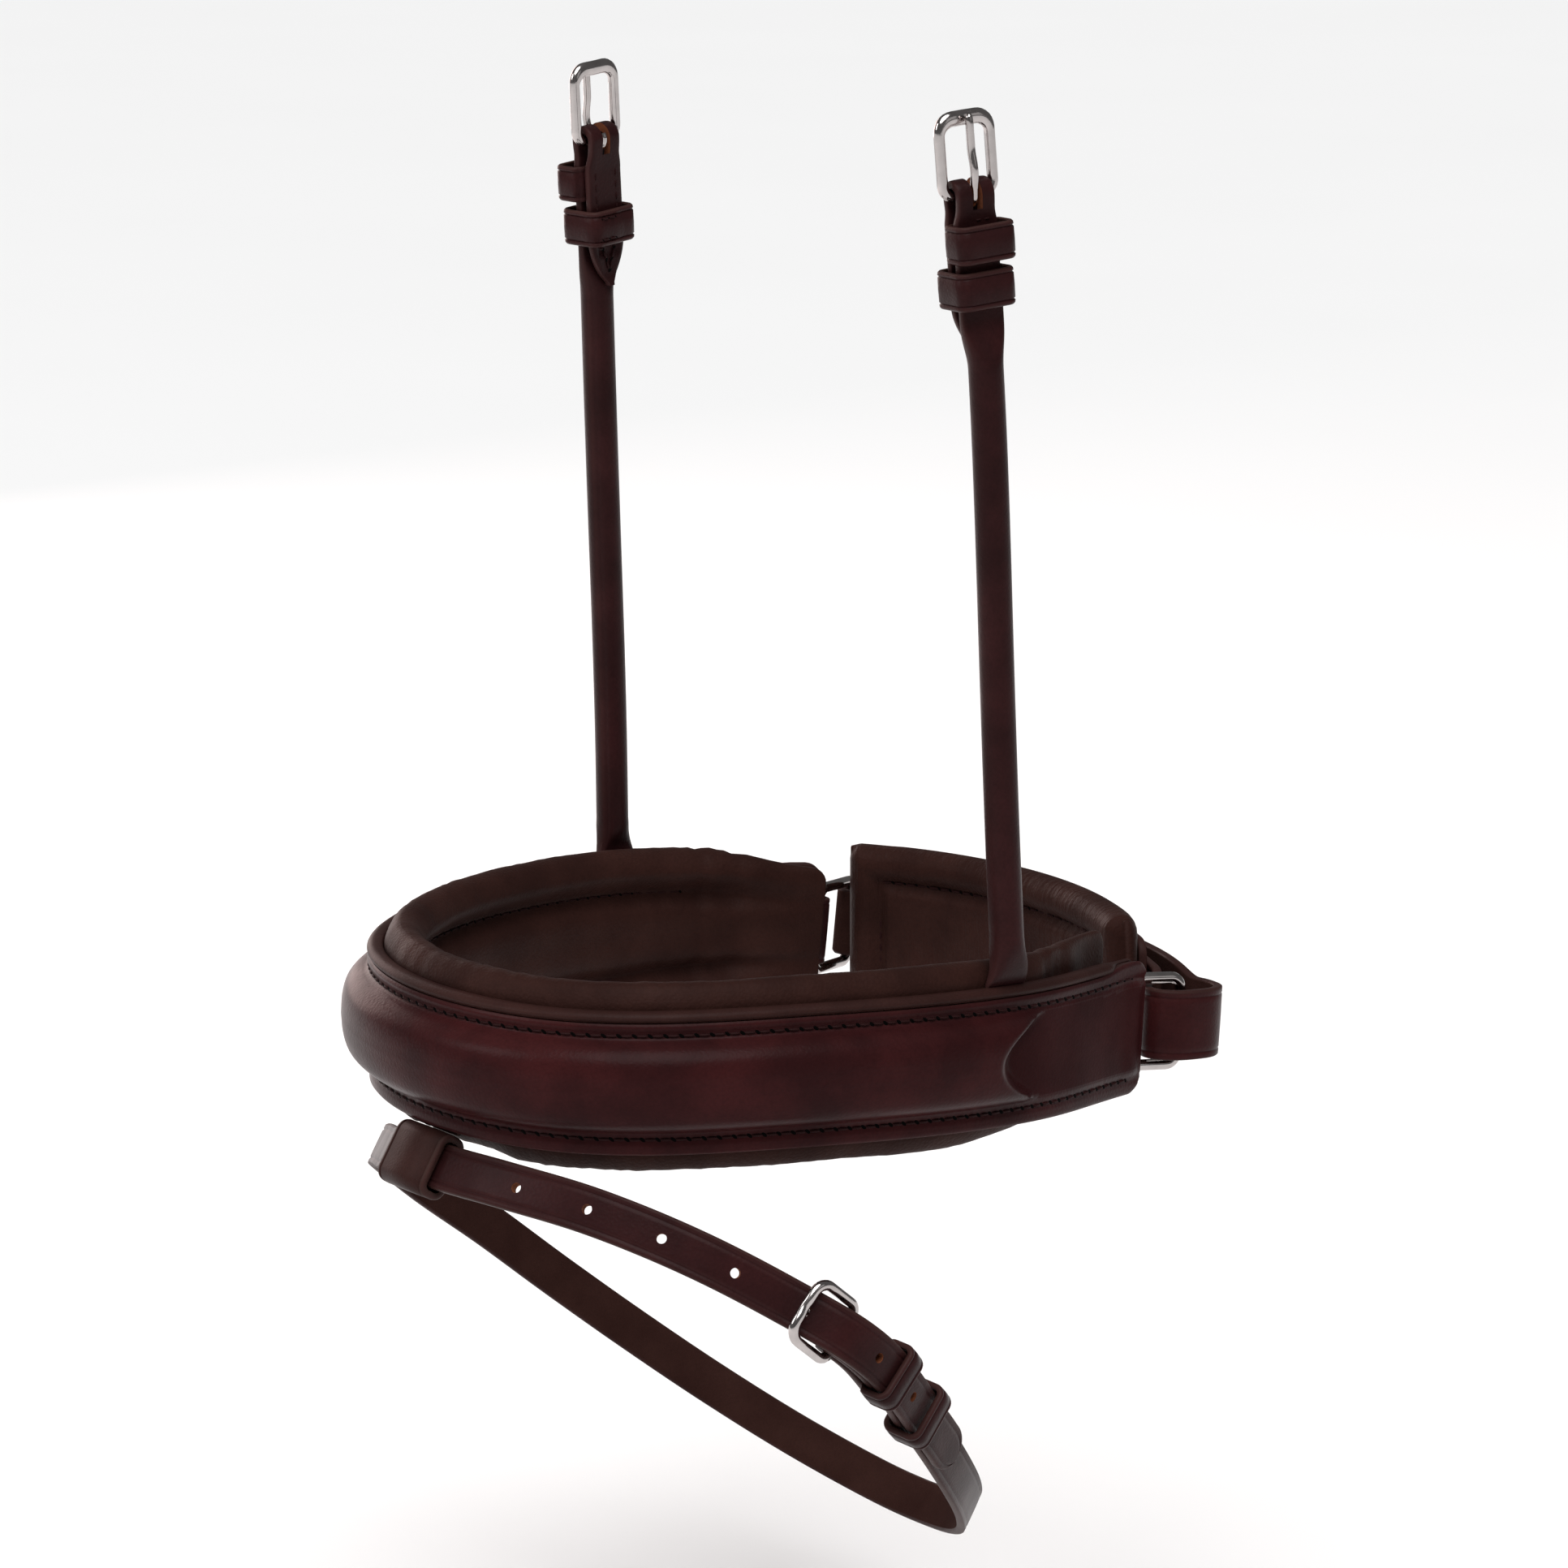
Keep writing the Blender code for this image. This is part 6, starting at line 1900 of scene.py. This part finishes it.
@dataclass
class Hanger:
    """A rolled strap from the band to its buckle, with a keeper and a runner."""

    band: NoseBand
    side: Side
    at: float = 0.1767
    rise: float = 0.2155
    shape: tuple[Triple, ...] = (
        (0.0, 0.0, 0.0), (-0.0148, -0.0148, 0.3944), (-0.0288, -0.0306, 0.7796), (-0.0362, -0.0464, 1.0))
    twist: float = 8.0
    roll: float = 0.0094
    flat_width: float = 0.0130
    fold_width: float = 0.0112
    flat_thickness: float = 0.0026
    flat_length: float = 0.033
    roll_length: float = 0.013
    roll_out: float = 0.0026
    turn_back: float = 0.042
    turn_thickness: float = 0.0022
    layer_gap: float = 0.0015
    base_out: float = -0.0015
    root_depth: float = 0.006
    buckle_length: float = 0.0200
    buckle_wire: float = 0.0015
    keeper_height: float = 0.0100
    fixed_drop: float = 0.0122
    runner_drop: float = 0.0246
    billet_room: float = 0.0042
    runner_room: float = 0.0026
    runner_back_room: float = 0.0018
    neck: tuple[tuple[float, float, float, float, float], ...] = (
        (0.0205, 0.0136, 0.0022, -0.0033, 0.0), (0.0230, 0.0126, 0.0036, -0.0026, 0.2),
        (0.0260, 0.0115, 0.0050, -0.0019, 0.5), (0.0300, 0.0104, 0.0066, -0.0016, 0.8),
        (0.0340, 0.0096, 0.0082, -0.0015, 1.0))
    root_size: Knot = (0.0138, 0.0011)
    fold_drops: Knot = (0.0035, 0.0085)
    settle_drop: float = 0.0100
    border: float = 0.0022
    border_sink: float = 0.00055
    squareness: float = 0.30
    seam_angle: float = 205.0
    seam_width: float = 0.16
    seam_depth: float = 0.11
    lip_angle: float = 190.0
    lip_width: float = 0.10
    row_aside: float = 0.0040
    tack_drop: float = 0.0066
    sides: int = 32
    rail: Rail = field(init=False)
    rolled: float = field(init=False)
    flat_out: float = field(init=False)
    back_out: float = field(init=False)
    turns: np.ndarray = field(init=False)
    rings: list[np.ndarray] = field(init=False, default_factory=list)
    wears: list[np.ndarray] = field(init=False, default_factory=list)

    def __post_init__(self) -> None:
        """Lay the line from the band's top edge to the buckle, and work out where the layers lie."""
        way = self.side.value
        base = self.band.rail.place(way * self.at, self.base_out, self.band.half_height)
        points = base + curve_through(np.array(self.shape) * self.rise, 0.006) * (way, 1, 1)
        heading = unit(points[-1] - points[-4])
        twist = math.radians(self.twist)
        normal = np.array([way * math.cos(twist), -math.sin(twist), 0.0])
        self.rail = Rail(points, np.cross(normal, heading))
        self.rolled = self.flat_length + self.roll_length
        self.flat_out = self.layer_gap / 2 + self.flat_thickness / 2
        self.back_out = -self.layer_gap / 2 - self.turn_thickness / 2
        self.turns = np.linspace(0, 2 * math.pi, self.sides, endpoint=False)

    def build(self) -> None:
        """Make the strap, stitches, buckle and loops of one hanger."""
        word, top = self.side.word, self.rail.length
        self._root()
        self._front()
        self._fold()
        self._turned()
        piece = tube("look_hanger_strap_" + word, self.rings, STRAP_SET,
                     np.full(self.sides, Strip.GRAIN.value), np.array(self.wears))
        pose = self.rail.pose(top, 0.0)
        radius = self.buckle_wire + RUNNING + self.flat_thickness
        punch(piece, radius + 0.0012, 0.0030, [pose @ QUARTER_TURN])
        seat(piece, "band", STRAP.slot, "hanger_strap_" + word)
        Buckle("hanger_buckle_" + word, "hanger_buckle_" + word, "hanger_tongue_" + word,
               self.fold_width + 2 * SIDE_PLAY, self.buckle_length, self.buckle_wire,
               flat_top=1.40).build(pose, lift=0.0008)
        face = self.layer_gap / 2 + self.flat_thickness
        wide = self.flat_width / 2 + SIDE_PLAY
        Keeper("hanger_fixed_keeper_" + word, "band", wide, self.layer_gap / 2 - GAP, face + self.billet_room,
               self.keeper_height).build(self.rail.pose(top - self.fixed_drop, 0.0))
        Keeper("hanger_runner_" + word, "hanger_runner_" + word, wide,
               -self.layer_gap / 2 - self.turn_thickness - self.runner_back_room, face + self.runner_room,
               self.keeper_height, leg=0.0017, lapped=True).build(self.rail.pose(top - self.runner_drop, 0.0))
        self._stitches()

    def _layer(self, drop: float) -> Triple:
        """The front layer at a distance below the bar.

        Args:
            drop: The distance.

        Returns:
            How far it is rolled up, how far out its middle lies, and its thickness.
        """
        roll = ease(drop, self.flat_length, self.rolled)
        return (roll, self.flat_out + (self.roll_out - self.flat_out) * roll,
                self.flat_thickness + (self.roll - self.flat_thickness) * roll)

    def _behind(self, drop: float) -> float:
        """How far out the turned-back layer's middle lies at a distance below the bar."""
        _, out, thickness = self._layer(drop)
        return min(self.back_out, out - thickness / 2 - GAP - self.turn_thickness / 2)

    def _section(self, width: float, thickness: float, roundness: float, sink: float) -> np.ndarray:
        """Points round the strap.

        Args:
            width: The strap's width.
            thickness: Its thickness.
            roundness: 0 for a soft rectangle, 1 for the oval of the rolled strap.
            sink: How far its face lies below the raised border, or 0 for no border.

        Returns:
            One (across, through) row for each point.
        """
        half, deep, turns = width / 2, thickness / 2, self.turns
        x, z = (np.sign(axis) * np.abs(axis) ** self.squareness for axis in (np.cos(turns), np.sin(turns)))
        flat = np.column_stack([x * half, z * deep])
        if sink:
            inside = np.abs(flat[:, 0]) < half - self.border
            flat[inside & (z > 0), 1] -= sink
        circle = np.column_stack([np.cos(turns) * half, np.sin(turns) * deep])
        return flat * (1 - roundness) + circle * roundness

    def _add(self, point: np.ndarray, side: np.ndarray, through: np.ndarray, width: float,
             thickness: float, roundness: float = 0.0, sink: float = 0.0, seam: float = 0.0) -> None:
        """Add one ring of the strap, and how worn its points are.

        Args:
            point: The ring's middle.
            side: The direction across the strap.
            through: The direction out of its face.
            width: Its width.
            thickness: Its thickness.
            roundness: 0 where it is flat, 1 where it is rolled.
            sink: How far its face lies below a raised border.
            seam: How far the roll's seam is sunk, as a share.
        """
        section, turns = self._section(width, thickness, roundness, sink), self.turns
        if seam:
            notch = np.exp(-((turns - math.radians(self.seam_angle)) / self.seam_width) ** 2)
            section *= (1.0 - self.seam_depth * seam * notch)[:, None]
        self.rings.append(point + section[:, :1] * side + section[:, 1:2] * through)
        rim = np.abs(np.cos(turns)) ** 6
        lip = np.exp(-((turns - math.radians(self.lip_angle)) / self.lip_width) ** 2)
        self.wears.append(rim * (0.40 * (1 - roundness) + 0.10) + 0.25 * seam * lip)

    def _root(self) -> None:
        """Add the flat root behind the band's leather, and the neck where it rolls up."""
        band, rail, at = self.band, self.rail, self.side.value * self.at
        edge = band.half_height
        _, _, outward, up = band.rail.frame(at)
        across = unit(np.cross(outward, up))
        root_out = -band.thickness - GAP - band.layer / 2
        for height in (edge - self.root_depth, edge - 0.002, edge + 0.0002):
            self._add(band.rail.place(at, root_out, height), across, outward, *self.root_size)
        _, _, normal, rail_side = rail.frame(0.0)
        neck = np.array(self.neck)
        for height in np.linspace(neck[0, 0], neck[-1, 0], 12):
            width, thickness, out, roundness = (np.interp(height, neck[:, 0], c) for c in neck.T[1:])
            share = ease(height, edge, edge + 0.012)
            place = band.rail.place(at, out, height) * (1.0 - share) + rail.place(height - edge, 0.0) * share
            side = unit(across * (1.0 - share) + rail_side * share)
            through = unit(outward * (1.0 - share) + normal * share)
            settled = ease(height, edge + 0.006, edge + 0.015)
            width += (self.roll - width) * settled
            thickness += (self.roll - thickness) * settled
            self._add(place, side, through, width, thickness, roundness, seam=share)

    def _front(self) -> None:
        """Add the rolled length and the flat front layer, up to the buckle's bar."""
        rail, rolled, flat = self.rail, self.rolled, self.flat_length
        bar = self.buckle_wire + RUNNING + self.flat_thickness / 2
        for drop in (*np.linspace(rail.length - 0.017, rolled + 0.002, 70), *np.linspace(rolled, flat, 12),
                     *np.linspace(flat - 0.001, 0.0110, 14), *np.linspace(0.0102, 0.0009, 12)):
            roll, out, thickness = self._layer(drop)
            width = self.flat_width + (self.roll - self.flat_width) * roll
            width += (self.fold_width - self.flat_width) * (1.0 - ease(drop, *self.fold_drops))
            out += (bar - self.flat_out) * (1.0 - ease(drop, 0.0, self.settle_drop))
            out *= 1.0 - ease(drop, rolled, rail.length - rolled + 0.02)
            _, _, normal, side = rail.frame(rail.length - drop)
            self._add(rail.place(rail.length - drop, out), side, normal, width, thickness, roll, seam=roll)

    def _fold(self) -> None:
        """Add the fold round the buckle's bar."""
        rail, thickness = self.rail, self.flat_thickness
        _, heading, normal, side = rail.frame(rail.length)
        for turn in np.radians(np.linspace(90, -90, 17)):
            through = heading * math.cos(turn) + normal * math.sin(turn)
            thinner = (self.turn_thickness - thickness) * (0.5 - turn / math.pi)
            reach = self.buckle_wire + RUNNING + (thickness + thinner) / 2
            self._add(rail.place(rail.length, 0.0) + through * reach, side, through, self.fold_width,
                      thickness + thinner)

    def _turned(self) -> None:
        """Add the turned-back layer, which ends in a raised point."""
        rail, thin, length = self.rail, self.turn_thickness, self.turn_back
        for drop in (*np.linspace(0.0009, 0.0102, 12), *np.linspace(0.0112, length - 0.0142, 14),
                     *np.linspace(length - 0.0134, length, 16)):
            width = self.fold_width + (self.flat_width - self.fold_width) * ease(drop, *self.fold_drops)
            width *= math.sqrt(max(0.02, 1.0 - ease(drop, length - 0.014, length + 0.0005) ** 1.2))
            settle = self.buckle_wire + RUNNING + thin / 2 + self.back_out
            out = self._behind(drop) - settle * (1.0 - ease(drop, 0.0, self.settle_drop))
            _, _, normal, side = rail.frame(rail.length - drop)
            sink = self.border_sink * ease(drop, 0.020, 0.030)
            sink *= 1.0 - ease(drop, length - 0.006, length - 0.003)
            self._add(rail.place(rail.length - drop, out), side, -normal, width, thin, sink=sink)

    def _stitches(self) -> None:
        """Sew rows down the turned-back layer that meet in its point, and a bar below the fold."""
        rail, top, back = self.rail, self.rail.length, self.turn_back
        name = f"look_hanger_{self.side.word}_"
        sewing = Stitching(pitch=0.0032, thread=0.00036, pit=0.00070)
        drops = np.linspace(0.0085, back - 0.0042, 40)
        for row, sign in (("a", 1), ("b", -1)):
            places = []
            for drop in drops:
                aside = sign * self.row_aside * (1.0 - ease(drop, back - 0.018, back - 0.002))
                out = self._behind(drop) - self.turn_thickness / 2
                places.append(rail.place(top - drop, out + 0.0001) + rail.frame(top - drop)[3] * aside)
            sewing.row(name + "stitches_" + row, np.array(places), -rail.outs(top - drops), "band")
        face = self.layer_gap / 2 + self.flat_thickness
        _, _, normal, side = rail.frame(top - self.tack_drop)
        start = rail.place(top - self.tack_drop, face + 0.0001)
        spots = np.array([start + side * x for x in np.linspace(-0.0042, 0.0010, 6)])
        tack = Stitching(pitch=0.0026, thread=0.0004, pits=False)
        tack.row(name + "bar_tack", spots, np.tile(normal, (6, 1)), "band")


@dataclass(frozen=True)
class Lamp:
    """A soft rectangular light."""

    name: str
    place: Triple
    size: tuple[float, float]
    power: float
    colour: Triple = (1.0, 1.0, 1.0)

    def build(self, target: Sequence[float]) -> None:
        """Make the light.

        Args:
            target: The place that it is turned to.
        """
        data = bpy.data.lights.new(self.name, "AREA")
        data.shape, data.energy, data.color = "RECTANGLE", self.power, self.colour
        data.size, data.size_y = self.size
        aim = (Vector(target) - Vector(self.place)).to_track_quat("-Z", "Y")
        placed(self.name, data).matrix_world = Matrix.Translation(self.place) @ aim.to_matrix().to_4x4()


@dataclass
class Studio:
    """The camera, the floor and the soft lights."""

    eye: Triple = (1.1497, -0.9369, 0.4128)
    right: Triple = (0.6355, 0.7721, 0.0)
    up: Triple = (-0.1799, 0.1481, 0.9725)
    lens: float = 125.8
    floor_drop: float = 0.045
    floor_half: float = 14.0
    sky: float = 0.14
    sun: float = 3.05
    sun_angle: float = 50.0
    sun_from: Triple = (0.45, -0.30, 1.0)
    target: Triple = (0.0, 0.0, 0.03)
    lamps: tuple[Lamp, ...] = (
        Lamp("key", (-0.55, -1.60, 1.05), (0.8, 0.8), 10.0),
        Lamp("rim", (-1.75, 0.10, 0.42), (1.2, 0.9), 12.0, (1.0, 0.80, 0.76)),
        Lamp("fill", (1.7, 0.55, 0.75), (0.7, 0.7), 0.6))

    def build(self, low: float) -> None:
        """Make the camera, a pale floor under the object, and the lights.

        Args:
            low: Height of the object's lowest point.
        """
        data = bpy.data.cameras.new("camera")
        data.lens, data.sensor_width, data.clip_end = self.lens, 36.0, 20.0
        camera = placed("camera", data)
        camera.matrix_world = pose_of(np.array(self.eye), np.array(self.right), np.array(self.up),
                                      np.cross(self.right, self.up))
        bpy.context.scene.camera = camera
        self._floor(low - self.floor_drop)
        self._lights()
        bpy.context.scene.view_settings.view_transform = "Standard"

    def _floor(self, level: float) -> None:
        """Make the pale floor.

        Args:
            level: Its height.
        """
        size = self.floor_half
        corners = [(-size, -size, level), (size, -size, level), (size, size, level), (-size, size, level)]
        mesh = mesh_of("floor", corners, [(0, 1, 2, 3)])
        graph = Graph("pale_floor")
        soft = graph.texture("TexNoise", 3.0, inputs={"Detail": 2.0})
        graph.give(Base_Color=graph.blend(soft, (0.93, 0.93, 0.93), (0.95, 0.95, 0.95)), Roughness=0.9)
        mesh.materials.append(graph.material)
        floor = placed("floor", mesh)
        floor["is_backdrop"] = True

    def _lights(self) -> None:
        """Make the pale sky, the broad sun and the lamps."""
        world = bpy.data.worlds.new("studio")
        world.use_nodes = True
        sky = world.node_tree.nodes["Background"].inputs
        sky["Color"].default_value = (1.0, 1.0, 1.0, 1.0)
        sky["Strength"].default_value = self.sky
        bpy.context.scene.world = world
        sun = bpy.data.lights.new("sky", "SUN")
        sun.energy, sun.angle = self.sun, math.radians(self.sun_angle)
        turn = Vector(self.sun_from).to_track_quat("Z", "Y")
        placed("sky", sun).matrix_world = turn.to_matrix().to_4x4()
        for lamp in self.lamps:
            lamp.build(self.target)


def main() -> None:
    """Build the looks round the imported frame."""
    logging.basicConfig(level=logging.INFO, format="%(message)s")
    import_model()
    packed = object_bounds()
    band = NoseBand()
    band.build()
    LOG.info("band made")
    rings = EndRings(band)
    rings.build(Side.LEFT)
    link, link_up = rings.build(Side.RIGHT)
    ChinPiece(band).build(link, link_up)
    LOG.info("chin piece made")
    FlashStrap(band).build()
    for side in Side:
        Hanger(band, side).build()
    LOG.info("straps made")
    Studio().build(packed[0][2])


if __name__ == "__main__":
    main()
